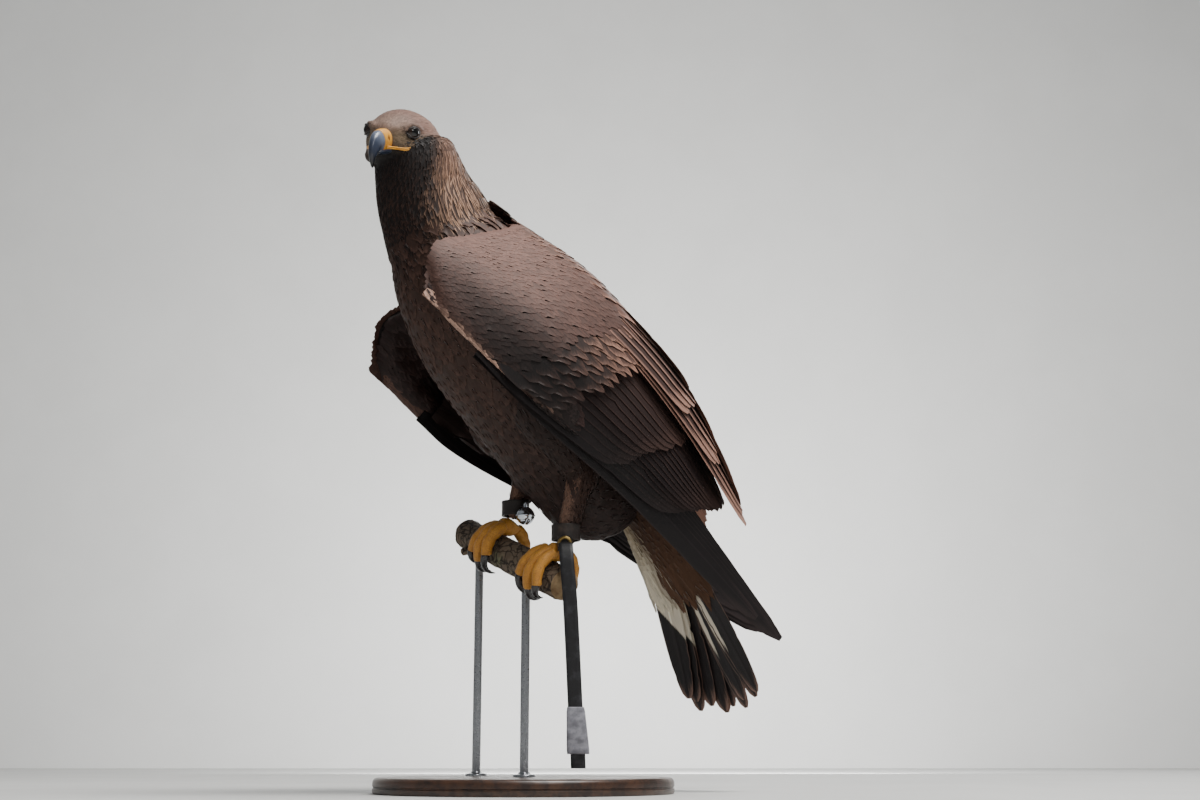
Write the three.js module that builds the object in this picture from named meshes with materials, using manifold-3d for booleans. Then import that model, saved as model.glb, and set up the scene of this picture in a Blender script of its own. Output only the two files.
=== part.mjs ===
// A life-size golden eagle, perched and looking down to its left, on a cut length of branch held by a
// plain display stand. The bird is modelled about the middle of its perch: X to its left, Y to its
// tail, Z up, in millimetres. The outer group stands on the floor, at the centre of the stand's base.
import * as THREE from "three";
import { mergeVertices } from "three/addons/utils/BufferGeometryUtils.js";
import Module from "manifold-3d";

const wasm = await Module();
wasm.setup();

// Driving dimensions, in millimetres and degrees

const GAP = 0.3; // between faces that touch
const PERCH_HEIGHT = 265; // the perch's middle above the floor
const PERCH_RADIUS = 20;
const PERCH_NEAR = 92; // the perch's cut ends, along it
const PERCH_FAR = -150;
const BASE_RADIUS = 170;
const BASE_HEIGHT = 18;
const ROD_RADIUS = 5;
const ROD_PLACES = [2, -118]; // along the perch

const LEFT_FOOT = new THREE.Vector3(57, 7, -27); // on the perch's axis
const RIGHT_FOOT = new THREE.Vector3(-57, -9, 15);
const TOE_RADIUS = 7.6;
const TARSUS_RADIUS = 13;
const TARSUS_LENGTH = 88;

const HEAD_PLACE = new THREE.Vector3(22, -178, 477);
const HEAD_TURN = 51; // to the bird's left
const HEAD_NOD = -20; // down
const HEAD_ROLL = 9; // its left side up
const EYE_RADIUS = 10.5;
const EYE_PLACE = [24.5, 20, 11]; // to the side, forward and up from the head's middle
const CERE_FRONT = 53;

const TAIL_ROOT = new THREE.Vector3(0, 150, 116);
const TAIL_DROP = 65; // below the horizontal
const TAIL_ROLL = 11;
const TAIL_LENGTH = 314;
const TAIL_FEATHERS = 12;
const TAIL_SPREAD = 12.5; // half the fan's angle

const RIGHT_WING_SHIFT = new THREE.Vector3(0, 21, -24);
const RIGHT_WING_LIFT = 5; // its tip up, about its wrist

// Torso: from the base of the neck to the tail. Each row is x, y, z, half width, back and belly depth.
const TORSO = [
  [0, -118, 404, 52, 50, 56],
  [0, -100, 364, 76, 76, 76],
  [0, -80, 318, 92, 92, 82],
  [0, -58, 268, 96, 104, 79],
  [0, -30, 222, 94, 106, 72],
  [0, 6, 180, 88, 98, 70],
  [0, 48, 146, 78, 78, 82],
  [0, 95, 124, 64, 54, 102],
  [0, 133, 110, 46, 34, 84],
  [0, 162, 102, 28, 20, 44],
];
// Neck: from under the head down into the shoulders.
const NECK = [
  [17, -158, 486, 46, 48, 50],
  [13, -149, 458, 52, 54, 56],
  [7, -136, 424, 57, 62, 62],
  [3, -118, 388, 64, 68, 68],
  [0, -102, 352, 66, 60, 70],
];
// Head, in its own frame: sideways, forward and up, from the lores to the nape.
const HEAD = [
  [0, 47, 4, 12, 13, 11],
  [0, 36, 4, 20, 22, 19],
  [0, 22, 3, 30, 31, 27],
  [0, 6, 2, 37, 37, 36],
  [0, -14, 0, 43, 41, 43],
  [0, -36, -5, 48, 41, 46],
  [0, -56, -12, 46, 39, 42],
];
// The wing's outer surface on the left, row by row from the wrist and shoulder to the tips, and in
// each row from the leading edge, up over the wing and on to the middle of the back.
const WING = [
  [[140, -176, 262], [126, -164, 327], [100, -112, 354], [66, -48, 387], [22, -46, 414]],
  [[148, -60, 160], [154, -28, 215], [132, 12, 268], [88, 54, 318], [24, 40, 341]],
  [[122, 110, 55], [128, 125, 102], [116, 143, 150], [82, 160, 205], [28, 122, 238]],
  [[78, 312, -98], [84, 296, -56], [80, 278, -12], [68, 252, 50], [32, 208, 88]],
];

const COLOURS = {
  dark: "#33241f",
  brown: "#5a4037",
  pale: "#8a6a52",
  quill: "#2a211f",
  horn: "#6f7a88",
  claw: "#1b1a1c",
  yellow: "#d99a2b",
  eye: "#1c130e",
  leather: "#1d1a1a",
  tape: "#9a9a9c",
  brass: "#b99a54",
  nickel: "#c9ccd2",
  bark: "#6b5d4c",
  wood: "#3a2c24",
  steel: "#a9acb0",
};

const degrees = THREE.MathUtils.degToRad;
const mix = THREE.MathUtils.lerp;
const smooth = THREE.MathUtils.smoothstep;

// The same small random numbers on each run.
function seeded(seed) {
  let state = seed;
  return () => {
    state = (state * 16807) % 2147483647;
    return state / 2147483647;
  };
}

// Rows of numbers as one smooth curve: the row at t, from 0 at the first to 1 at the last.
function through(rows, t) {
  const last = rows.length - 1;
  const i = Math.min(Math.max(Math.floor(t * last), 0), last - 1);
  const f = t * last - i;
  const at = (k, c) => {
    if (k < 0) return 2 * rows[0][c] - rows[1][c];
    if (k > last) return 2 * rows[last][c] - rows[last - 1][c];
    return rows[k][c];
  };
  return rows[0].map((_, c) => {
    const [a, b, d, e] = [at(i - 1, c), at(i, c), at(i + 1, c), at(i + 2, c)];
    return b + 0.5 * f * (d - a + f * (2 * a - 5 * b + 4 * d - e + f * (3 * (b - d) + e - a)));
  });
}

// Joining and cutting

// A closed geometry as a solid, with its shared corners merged and its faces pointing out.
function solid(geometry) {
  geometry.deleteAttribute("normal");
  geometry.deleteAttribute("uv");
  const merged = mergeVertices(geometry, 1e-4);
  const corners = merged.index.array;
  const faces = [];
  for (let i = 0; i < corners.length; i += 3) {
    const [a, b, c] = [corners[i], corners[i + 1], corners[i + 2]];
    if (a !== b && b !== c && a !== c) faces.push(a, b, c);
  }
  const vertProperties = merged.attributes.position.array;
  const made = (list) =>
    new wasm.Manifold(new wasm.Mesh({ numProp: 3, vertProperties, triVerts: new Uint32Array(list) }));
  const first = made(faces);
  if (first.volume() > 0) return first;
  const turned = [];
  for (let i = 0; i < faces.length; i += 3) turned.push(faces[i], faces[i + 2], faces[i + 1]);
  return made(turned);
}

const join = (pieces) => wasm.Manifold.union(pieces);

// A solid with others cut away, of which only the largest closed body is kept.
function cut(made, ...others) {
  const left = others.length ? made.subtract(join(others)) : made;
  return left.decompose().reduce((a, b) => (a.volume() > b.volume() ? a : b));
}

// The solid as one named mesh.
function mesh(name, colour, made, roughness = 0.8, metalness = 0) {
  const { numProp, numVert, vertProperties, triVerts } = made.getMesh();
  const positions = new Float32Array(numVert * 3);
  for (let i = 0; i < numVert; i++) {
    positions.set(vertProperties.subarray(i * numProp, i * numProp + 3), i * 3);
  }
  const geometry = new THREE.BufferGeometry()
    .setAttribute("position", new THREE.BufferAttribute(positions, 3))
    .setIndex(new THREE.BufferAttribute(new Uint32Array(triVerts), 1));
  geometry.computeVertexNormals();
  const material = new THREE.MeshStandardMaterial({ color: COLOURS[colour], roughness, metalness });
  const one = new THREE.Mesh(geometry, material);
  one.name = name;
  return one;
}

// Moves each corner of a geometry to where place puts it.
function shape(geometry, place) {
  const corners = geometry.attributes.position;
  const v = new THREE.Vector3();
  for (let i = 0; i < corners.count; i++) {
    v.fromBufferAttribute(corners, i);
    const p = place(v);
    corners.setXYZ(i, p.x, p.y, p.z);
  }
  return geometry;
}

// Body forms

// How far a rounded form has filled out at t: its ends close as half ellipses of the given shares.
function filled(t, start, end) {
  const rise = (x) => Math.sqrt(Math.max(0, 1 - (1 - x) ** 2));
  return rise(Math.min(1, t / Math.max(start, 1e-6))) * rise(Math.min(1, (1 - t) / Math.max(end, 1e-6)));
}

// The middle, tangent, side and back directions of a body form at t.
function framed(rows, t, turn = () => 0) {
  const row = through(rows, t);
  const [ahead, behind] = [through(rows, t + 0.01), through(rows, t - 0.01)];
  const middle = new THREE.Vector3(...row);
  const along = new THREE.Vector3(...ahead).sub(new THREE.Vector3(...behind)).normalize();
  const angle = degrees(turn(t));
  const side = new THREE.Vector3(Math.cos(angle), Math.sin(angle), 0);
  side.addScaledVector(along, -side.dot(along)).normalize();
  const back = side.clone().cross(along);
  return { row, middle, along, side, back };
}

// A closed body form with oval sections, each row giving its half width, back and belly.
function loft(rows, sides, rings, { start = 0.06, end = 0.06, grow = 0, turn } = {}) {
  return solid(
    shape(new THREE.CylinderGeometry(1, 1, 1, sides, rings), ({ x, y, z }) => {
      const even = 0.5 - y;
      const t = mix(even, (1 - Math.cos(Math.PI * even)) / 2, 0.6);
      const { row, middle, side, back, along } = framed(rows, t, turn);
      const full = filled(mix(0.004, 0.996, t), start, end);
      const up = z > 0 ? row[4] : row[5];
      return middle
        .addScaledVector(side, x * (row[3] * full + grow))
        .addScaledVector(back, z * (up * full + grow))
        .addScaledVector(along, grow * (even === 0 ? -1 : even === 1 ? 1 : 0));
    }),
  );
}

// A place on a body form's skin: t along it, and angle round it from the back, positive to the left.
function onLoft(rows, t, angle, turn) {
  const { row, middle, along, side, back } = framed(rows, t, turn);
  const [sin, cos] = [Math.sin(degrees(angle)), Math.cos(degrees(angle))];
  const up = cos > 0 ? row[4] : row[5];
  const point = middle.addScaledVector(side, sin * row[3]).addScaledVector(back, cos * up);
  const normal = side.clone().multiplyScalar(sin / row[3]).addScaledVector(back, cos / up).normalize();
  return { point, normal, along };
}

// A round tube through points, its radius given along it, with round ends.
function tube(points, radii, sides = 8, steps = 10, grow = 0) {
  const curve = new THREE.CatmullRomCurve3(points);
  const rows = [];
  for (let i = 0; i <= steps; i++) {
    const p = curve.getPoint(i / steps);
    const r = through(radii.map((x) => [x]), i / steps)[0];
    rows.push([p.x, p.y, p.z, r, r, r]);
  }
  const direction = curve.getTangent(0.5);
  const turn = Math.abs(direction.x) > Math.abs(direction.y) ? () => 90 : () => 0;
  return loft(rows, sides, steps, { start: 0.12, end: 0.06, grow, turn });
}

// A closed form over a grid, split into triangles alike on both faces. place gives the point for
// x from -1 to 1 across, t from 0 to 1 along, and face 1 or -1.
function leaf(columns, rows, place) {
  const plane = new THREE.PlaneGeometry(2, 1, columns, rows);
  const grid = plane.attributes.position;
  const faces = Array.from(plane.index.array);
  const points = [];
  for (const face of [1, -1]) {
    for (let i = 0; i < grid.count; i++) {
      const p = place(grid.getX(i), 0.5 - grid.getY(i), face);
      points.push(p.x, p.y, p.z);
    }
  }
  const edges = new Map();
  const triangles = [];
  for (let i = 0; i < faces.length; i += 3) {
    const [a, b, c] = [faces[i], faces[i + 1], faces[i + 2]];
    triangles.push(a, b, c, a + grid.count, c + grid.count, b + grid.count);
    for (const [from, to] of [[a, b], [b, c], [c, a]]) {
      if (!edges.delete(`${to} ${from}`)) edges.set(`${from} ${to}`, [from, to]);
    }
  }
  for (const [from, to] of edges.values()) {
    triangles.push(to, from, from + grid.count, to, from + grid.count, to + grid.count);
  }
  const geometry = new THREE.BufferGeometry()
    .setAttribute("position", new THREE.Float32BufferAttribute(points, 3))
    .setIndex(triangles);
  return solid(geometry);
}

// A feather. line gives its middle and the normal of its face at t. Its two vanes have their own half
// widths, it tilts so that neighbours lie over one another, and it tapers to a rounded tip.
function vane(line, sizes) {
  const { left, right, thick = 0.8, tilt = 0.11, steps = 3, blunt = 0.34, point = 0.36, ridge = 1, grow = 0 } = sizes;
  return leaf(ridge, steps, (x, t, face) => {
    const { point: p, normal } = line(t);
    const ahead = line(t + 0.02).point;
    const along = ahead.clone().sub(line(t - 0.02).point).normalize();
    const across = along.clone().cross(normal).normalize();
    const taper = Math.sqrt(Math.max(0, 1 - Math.max(0, (t - 1 + blunt) / blunt) ** 2));
    const reach = (x < 0 ? left : right) * mix(0.75, 1, smooth(t, 0, 0.3)) * mix(point, 1, taper) + grow;
    const half = (x === 0 ? 1.3 : 1) * (thick / 2) * mix(0.6, 1, taper) + grow;
    return p
      .clone()
      .addScaledVector(across, x * reach)
      .addScaledVector(normal, face * half + x * reach * tilt)
      .addScaledVector(along, grow * (t === 0 ? -1 : t === 1 ? 1 : 0));
  });
}

// The wing's surface

// The point of the left wing's surface, raised by height: u across it, v along it.
function wingPoint(u, v, height = 0) {
  const at = (a, b) => {
    const row = WING.map((points) => through(points, a));
    return new THREE.Vector3(...through(row, b));
  };
  const step = 0.01;
  const du = at(u + step, v).sub(at(u - step, v));
  const dv = at(u, v + step).sub(at(u, v - step));
  const normal = dv.cross(du).normalize();
  return { point: at(u, v).addScaledVector(normal, height), normal };
}

// A feather of the wing, from one place (u, v, height) on its surface to another.
function wingVane(from, to, sizes) {
  const line = (t) => wingPoint(mix(from[0], to[0], t), mix(from[1], to[1], t), mix(from[2], to[2], t));
  return vane(line, sizes);
}

// A plate of the wing's surface between two limits along it and across it. under gives its depth.
function wingPlate(u0, u1, v0, v1, top, under, columns, rows, edge = 0, grow = 0) {
  return leaf(columns, rows, (x, t, face) => {
    const across = (x + 1) / 2;
    const u = mix(u0, u1, across) + (grow / 300) * x;
    const v = mix(v0(u), v1(u), t) + (grow / 500) * (2 * t - 1);
    const full = edge ? Math.max(0.12, filled(across, edge, edge) * filled(t, edge, 0.02)) : 1;
    const deep = under(u, v);
    const height = top - (deep / 2) * (1 - face * full) + face * grow;
    return wingPoint(u, v, height).point;
  });
}

const armStep = (u) => 0.15 + 0.2 * u; // where the thick of the arm ends and the flight feathers begin
const armEnd = (u) => 0.3 + 0.22 * u; // the last small coverts
const wristCurve = (u) => 0.06 * Math.max(0, 1 - u / 0.22) ** 2;

// The arm, and over its rear edge its small coverts, the last of them in a tier of their own.
function wingArm() {
  const pieces = [];
  const rows = 5;
  const whole = leaf(8, rows, (x, t, face) => {
    const across = (x + 1) / 2;
    const u = 0.8 * across;
    const onArm = t < 0.9;
    const v = onArm ? mix(wristCurve(u), armStep(u), t / 0.8) : armEnd(u);
    const meat = 19 + 10 * Math.max(0, 1 - v / armStep(u)) + 30 * smooth(u, 0.45, 0.8);
    const deep = t < 0.7 ? meat : 4.2;
    const full = Math.max(0.14, filled(across, 0.14, 0.1) * filled(t, 0.18, 0.001));
    const height = face > 0 ? -0.25 * deep * (1 - full) : -deep * (0.25 + 0.75 * full);
    return wingPoint(u, v, t > 0.7 ? (face > 0 ? 0 : -4.2) : height).point;
  });
  pieces.push(whole);
  const vary = seeded(11);
  const count = 10;
  for (let i = 0; i < count; i++) {
    const u = mix(0.05, 0.56, i / (count - 1));
    const root = armEnd(u) - 0.03;
    const tip = root + 0.14 + 0.02 * vary();
    pieces.push(wingVane([u, root, -2.1], [u + 0.02, tip, -1], { left: 12, right: 14, steps: 2 }));
  }
  return join(pieces);
}

// The secondaries, with the greater coverts over them, on the strip of skin that they grow from.
function wingSecondaries() {
  const pieces = [wingPlate(0.02, 0.64, (u) => armStep(u) + 0.008, (u) => armStep(u) + 0.055, -6.8, () => 10.3, 4, 1)];
  const vary = seeded(23);
  const coverts = 8;
  for (let i = 0; i < coverts; i++) {
    const u = mix(0.06, 0.58, i / (coverts - 1));
    const root = armStep(u) + 0.04;
    const tip = 0.56 + 0.28 * u + 0.015 * vary();
    pieces.push(wingVane([u, root, -9.9], [u + 0.02, tip, -8.5], { left: 14, right: 17, steps: 2 }));
  }
  const secondaries = 9;
  for (let i = 0; i < secondaries; i++) {
    const u = mix(0.05, 0.59, i / (secondaries - 1));
    const root = armStep(u) + 0.04;
    const tip = 0.7 + 0.32 * u + 0.012 * vary();
    pieces.push(wingVane([u, root, -14.8], [u + 0.05, tip, -12.6], { left: 15, right: 19, steps: 3 }));
  }
  return join(pieces);
}

// The primaries, stacked under the secondaries.
function wingPrimaries() {
  const pieces = [wingPlate(0.0, 0.34, (u) => armStep(u) + 0.004, (u) => armStep(u) + 0.07, -19.2, () => 12.6, 2, 1)];
  const tips = [0.94, 0.99, 1, 0.985, 0.95, 0.9, 0.85, 0.8];
  tips.forEach((tip, i) => {
    const u = 0.055 + 0.028 * i;
    const end = [0.03 * i, tip, -16.4 - 1.45 * i];
    const sizes = { left: 10, right: 19, steps: 4, blunt: 0.4, tilt: 0.02, thick: 0.7, point: 0.3 };
    pieces.push(wingVane([u, armStep(u) + 0.055, -20.2 - 1.45 * i], end, sizes));
  });
  return join(pieces);
}

// The long innermost feathers of the wing, lying over its rear edge.
function wingTertials() {
  const pieces = [wingPlate(0.6, 0.785, (u) => armStep(u) + 0.02, (u) => armStep(u) + 0.07, 7.7, () => 6.1, 2, 1)];
  const count = 4;
  for (let i = 0; i < count; i++) {
    const u = mix(0.625, 0.745, i / (count - 1));
    const tip = [u + 0.012 * i, mix(0.92, 0.97, i / (count - 1)), 4.8];
    pieces.push(wingVane([u, armStep(u) + 0.055, 4.3], tip, { left: 14, right: 15, tilt: 0.16, steps: 3 }));
  }
  return join(pieces);
}

// The shoulder feathers, from beside the mantle over the root of the wing.
function scapulars() {
  const pieces = [wingPlate(0.803, 0.98, () => 0.03, () => 0.34, 1, () => 30, 3, 3, 0.2)];
  const vary = seeded(5);
  for (const [tier, root, tip, count] of [[0, 0.3, 0.52, 4], [1, 0.31, 0.72, 4]]) {
    for (let i = 0; i < count; i++) {
      const u = mix(0.85, 0.955, i / (count - 1));
      const end = [u + 0.01, tip + 0.02 * vary(), 1.2 - 2.6 * tier];
      pieces.push(wingVane([u, root, -0.6 - 2.6 * tier], end, { left: 13, right: 14, steps: 2, tilt: 0.14 }));
    }
  }
  return join(pieces);
}

// A solid of the left side as the right side has it.
const WRIST = WING[0][0];
const mirrored = (made) =>
  made
    .mirror([1, 0, 0])
    .translate([0, -WRIST[1], -WRIST[2]])
    .rotate([RIGHT_WING_LIFT, 0, 0])
    .translate([0, WRIST[1] + RIGHT_WING_SHIFT.y, WRIST[2] + RIGHT_WING_SHIFT.z]);

// Head

const headTurned = new THREE.Matrix4().makeRotationZ(degrees(HEAD_TURN));
const headNodded = new THREE.Matrix4().makeRotationX(degrees(-HEAD_NOD));
const headRolled = new THREE.Matrix4().makeRotationY(degrees(HEAD_ROLL));
// From the head's own sideways, forward and up to the bird's frame, whose forward is -Y.
const HEAD_FRAME = new THREE.Matrix4()
  .makeTranslation(HEAD_PLACE.x, HEAD_PLACE.y, HEAD_PLACE.z)
  .multiply(headTurned)
  .multiply(headNodded)
  .multiply(headRolled);
const headPoint = (side, forward, up) => new THREE.Vector3(side, -forward, up).applyMatrix4(HEAD_FRAME);

// Rows of the head's own frame, as rows of the bird's.
const inHead = (rows) => rows.map(([x, y, z, ...sizes]) => [...headPoint(x, y, z).toArray(), ...sizes]);
const headTurn = () => HEAD_TURN;

function ball(centre, radius, squash = [1, 1, 1], detail = 12) {
  return solid(
    shape(new THREE.SphereGeometry(radius, detail, Math.round(detail * 0.7)), ({ x, y, z }) =>
      headPoint(centre[0] + x * squash[0], centre[1] + y * squash[1], centre[2] + z * squash[2]),
    ),
  );
}

const eyeAt = (side) => [side * EYE_PLACE[0], EYE_PLACE[1], EYE_PLACE[2]];
const eyeball = (side, grow = 0) => ball(eyeAt(side), EYE_RADIUS + grow, [0.82, 1, 1], 10);

// The ridge that shades each eye, and the lids round it.
function brow(side) {
  const points = [[14, 40, 15], [22, 31, 19.5], [29.5, 17, 20.5], [35, 2, 16]];
  return tube(points.map(([x, y, z]) => headPoint(side * x, y, z)), [3, 4.6, 4.8, 3.2], 6, 5);
}
function lids(side) {
  const ring = new THREE.TorusGeometry(EYE_RADIUS - 0.8, 1.9, 4, 10);
  const [x, y, z] = eyeAt(side);
  return solid(shape(ring, (p) => headPoint(x + side * (4.6 + p.z) - side * 0.2 * p.x, y + p.x * 1.06, z + p.y * 0.94)));
}

const BILL = [
  [0, 30, 3, 15, 15, 11],
  [0, 42, 4, 14.2, 16, 11.5],
  [0, 54, 3.5, 12.6, 15, 11.5],
  [0, 64, 0.5, 10.2, 12.5, 11.5],
  [0, 71, -6, 7.4, 10, 10.5],
  [0, 75.5, -14, 4.6, 7, 7.4],
  [0, 76, -22.5, 2.4, 4, 4],
  [0, 74, -29, 1, 1.4, 1.4],
];
const LOWER_BILL = [
  [0, 26, -9, 12, 4, 7],
  [0, 42, -9.5, 10, 4, 6.5],
  [0, 56, -11, 7.5, 3.5, 5],
  [0, 66, -13, 4.4, 2.6, 3],
];
// The whole upper bill, with its base.
const upperBill = (grow = 0) => loft(inHead(BILL), 10, 10, { start: 0.03, end: 0.06, grow, turn: headTurn });
const lowerBill = (grow = 0) => loft(inHead(LOWER_BILL), 8, 5, { start: 0.05, end: 0.2, grow, turn: headTurn });

// A block in the head's frame, for cutting.
function headBlock([x0, x1], [y0, y1], [z0, z1]) {
  const middle = [(x0 + x1) / 2, (y0 + y1) / 2, (z0 + z1) / 2];
  return solid(
    shape(new THREE.BoxGeometry(x1 - x0, y1 - y0, z1 - z0), ({ x, y, z }) =>
      headPoint(middle[0] + x, middle[1] + y, middle[2] + z),
    ),
  );
}

// The pale lip along the mouth, from the bill back to under the eye.
function gape(side, grow = 0) {
  const points = [[11.5, 50, -5], [18, 38, -6], [25.5, 26, -7.5], [33, 13, -8]];
  return tube(points.map(([x, y, z]) => headPoint(side * x, y, z)), [1.7, 2.3, 2.5, 1.7], 6, 5, grow);
}

const nostril = (side) => ball([side * 14, 45.5, 6], 3.4, [1.4, 0.75, 1.35], 6);

// Neck

// The neck turns its front with the head, so that the throat stays under the bill.
const neckTurn = (t) => HEAD_TURN * (1 - smooth(t, 0, 0.8));
const neckCore = (grow = 0) => loft(NECK, 14, 5, { start: 0.1, end: 0.1, grow, turn: neckTurn });

// The long pointed feathers of the nape, in rows that overlap down the neck.
function hackles() {
  const made = [];
  const vary = seeded(31);
  const rowsOf = [[0.14, 5], [0.36, 6], [0.6, 6]];
  rowsOf.forEach(([t, count], row) => {
    for (let i = 0; i < count; i++) {
      const angle = mix(-118, 118, (i + 0.5 * (row % 2)) / (count - 0.5)) + 6 * (vary() - 0.5);
      const length = 0.28 + 0.05 * vary();
      const line = (s) => {
        const { point, normal } = onLoft(NECK, t + s * length, angle, neckTurn);
        return { point: point.addScaledVector(normal, s < 0.4 ? mix(-5, 1.7, s / 0.4) : mix(1.7, 3.6, (s - 0.4) / 0.6)), normal };
      };
      made.push(vane(line, { left: 9.5, right: 9.5, tilt: 0.05, steps: 2, blunt: 0.55, point: 0.08 }));
    }
  });
  return made;
}

// Tail

const tailAlong = new THREE.Vector3(0, Math.cos(degrees(TAIL_DROP)), -Math.sin(degrees(TAIL_DROP)));
const tailSide = new THREE.Vector3(1, 0, 0).applyAxisAngle(tailAlong, degrees(-TAIL_ROLL));
const tailBack = tailSide.clone().cross(tailAlong);

// A place in the tail's own frame: sideways, along it, and up from its upper face.
const tailPoint = (side, along, up) =>
  TAIL_ROOT.clone()
    .addScaledVector(tailSide, side)
    .addScaledVector(tailAlong, along)
    .addScaledVector(tailBack, up);

// The line of a tail feather: it fans out by an angle and droops a little to its tip.
function tailLine(angle, start, length, up, fall) {
  const [sin, cos] = [Math.sin(degrees(angle)), Math.cos(degrees(angle))];
  return (t) => ({
    point: tailPoint(start * angle + sin * length * t, 34 + cos * length * t, up - fall * t * t),
    normal: tailBack,
  });
}

// A block in the tail's own frame, for its root and for cutting.
function tailBlock([x0, x1], [y0, y1], [z0, z1]) {
  return solid(
    shape(new THREE.BoxGeometry(x1 - x0, y1 - y0, z1 - z0), ({ x, y, z }) =>
      tailPoint((x0 + x1) / 2 + x, (y0 + y1) / 2 + y, (z0 + z1) / 2 + z),
    ),
  );
}

const TAIL_STACK = [-14, 0.9]; // how far the feathers lie under and over the tail's plane at the root

function tailFeathers() {
  const pieces = [tailBlock([-31, 31], [4, 46], TAIL_STACK)];
  for (let i = 0; i < TAIL_FEATHERS; i++) {
    const place = i - (TAIL_FEATHERS - 1) / 2;
    const share = place / ((TAIL_FEATHERS - 1) / 2);
    const up = 0.8 - 2.3 * Math.abs(place) - (place < 0 ? 1.15 : 0);
    const length = TAIL_LENGTH - 34 - 14 * share * share;
    const sizes = { left: 21, right: 21, thick: 0.7, tilt: 0, blunt: 0.2, point: 0.45 };
    pieces.push(vane(tailLine(share * TAIL_SPREAD, 0.6, length, up, 9), { ...sizes, steps: 3, ridge: 2 }));
  }
  return join(pieces);
}

// The soft feathers that fill in over and under the tail's root.
function tailCoverts(above) {
  const face = above ? 1 : -1;
  const reach = above ? [92, 116] : [146, 176];
  const core = above
    ? [[0, -14, 9, 32, 10, 10], [0, 22, 7, 33, 7, 8], [0, 64, 4, 30, 4, 5]]
    : [[0, -16, -26, 34, 18, 22], [0, 34, -25, 36, 14, 18], [0, 92, -20, 30, 7, 9]];
  const rows = core.map(([x, y, z, ...sizes]) => [...tailPoint(x, y, z).toArray(), ...sizes]);
  const [low, high] = TAIL_STACK;
  const body = loft(rows, 8, 3, { start: 0.2, end: 0.3 });
  const pieces = [body.subtract(tailBlock([-120, 120], [-80, 340], [low - 0.6, high + GAP]))];
  reach.forEach((long, tier) => {
    const count = 4 - (tier % 2);
    const start = core[2][1] - 34;
    for (let i = 0; i < count; i++) {
      const share = (2 * i) / (count - 1) - 1;
      const root = above ? 4.2 - 1.1 * tier : -21.5 + 1.6 * tier;
      const tip = above ? 3.4 - 1.1 * tier : -19.8 + 1.6 * tier;
      const line = (t) => ({
        point: tailPoint(share * (16 + 9 * t), start + (long - start) * t, mix(root, tip, t)),
        normal: tailBack,
      });
      pieces.push(vane(line, { left: 12, right: 12, steps: 2, tilt: 0.06 * face, thick: 0.8 }));
    }
  });
  return join(pieces);
}

// Legs

const perchAlong = LEFT_FOOT.clone().sub(RIGHT_FOOT).normalize();
const perchMiddle = LEFT_FOOT.clone().add(RIGHT_FOOT).multiplyScalar(0.5);
const perchFront = new THREE.Vector3(0, 0, 1).cross(perchAlong).negate().normalize();
const perchUp = perchAlong.clone().cross(perchFront).negate();
if (perchUp.z < 0) perchUp.negate();

// A place round the perch: along it, at an angle forward from its top, at a distance from its axis.
function roundPerch(foot, along, angle, distance) {
  const [sin, cos] = [Math.sin(degrees(angle)), Math.cos(degrees(angle))];
  return foot
    .clone()
    .addScaledVector(perchAlong, along)
    .addScaledVector(perchFront, distance * sin)
    .addScaledVector(perchUp, distance * cos);
}

const ankle = (foot) => roundPerch(foot, 0, -14, PERCH_RADIUS + 2 * TOE_RADIUS + 7);
const heel = (foot) => ankle(foot).add(new THREE.Vector3(0, 22, TARSUS_LENGTH));

// Each toe: how far it splays along the perch, its angles round it, and the claw's reach beyond.
const TOES = {
  inner: { from: -7, to: -19, start: 8, stop: 96, radius: 7.6, claw: 58 },
  middle: { from: 0, to: 1, start: 8, stop: 118, radius: 7.4, claw: 42 },
  outer: { from: 7, to: 20, start: 8, stop: 104, radius: 6.6, claw: 38 },
  hind: { from: -1, to: -3, start: -24, stop: -92, radius: 7.8, claw: 66 },
};

// The toe's pads swell between its joints.
function toe(foot, side, { from, to, start, stop, radius }) {
  const points = [];
  const radii = [];
  const steps = 7;
  for (let i = 0; i <= steps; i++) {
    const t = i / steps;
    points.push(
      roundPerch(foot, side * mix(from, to, t), mix(start, stop, t), PERCH_RADIUS + radius + GAP + 1.3 + 2.6 * (1 - t)),
    );
    radii.push(radius * mix(1.05, 0.86, t) * (1 + 0.07 * Math.cos(2 * Math.PI * 3 * t)));
  }
  return tube(points, radii, 6, 5);
}

function claw(foot, side, { to, stop, radius, claw: reach }, grow = 0) {
  const sign = Math.sign(stop);
  const points = [];
  const steps = 5;
  for (let i = 0; i <= steps; i++) {
    const t = i / steps;
    const out = PERCH_RADIUS + radius + GAP + mix(1.5, 0, t) + 4.5 * Math.sin(Math.PI * t) - 2.2 * t;
    points.push(roundPerch(foot, side * to * mix(1, 0.8, t), stop + sign * mix(-9, reach, t), out));
  }
  return tube(points, [4.9, 4.7, 4, 3.1, 2, 0.7], 6, 6, grow);
}

function foot(at, side) {
  const pad = tube(
    [roundPerch(at, 0, 16, 32.5), roundPerch(at, 0, -10, 31), ankle(at).add(new THREE.Vector3(0, 0, -4))],
    [10, 11, 10.5],
    6,
    3,
  );
  return join([pad, ...Object.values(TOES).map((sizes) => toe(at, side, sizes))]);
}

// The feathered lower leg, and the loose feathers of the thigh over it.
function tarsus(at, grow = 0) {
  const [low, high] = [ankle(at), heel(at)];
  const rows = [];
  for (const [t, radius] of [[0, 11], [0.25, 13], [0.6, 14.5], [1, 18]]) {
    const p = low.clone().lerp(high, t);
    rows.push([p.x, p.y, p.z, radius, radius + 1, radius + 1]);
  }
  return loft(rows.reverse(), 10, 4, { start: 0.05, end: 0.04, grow });
}

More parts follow.
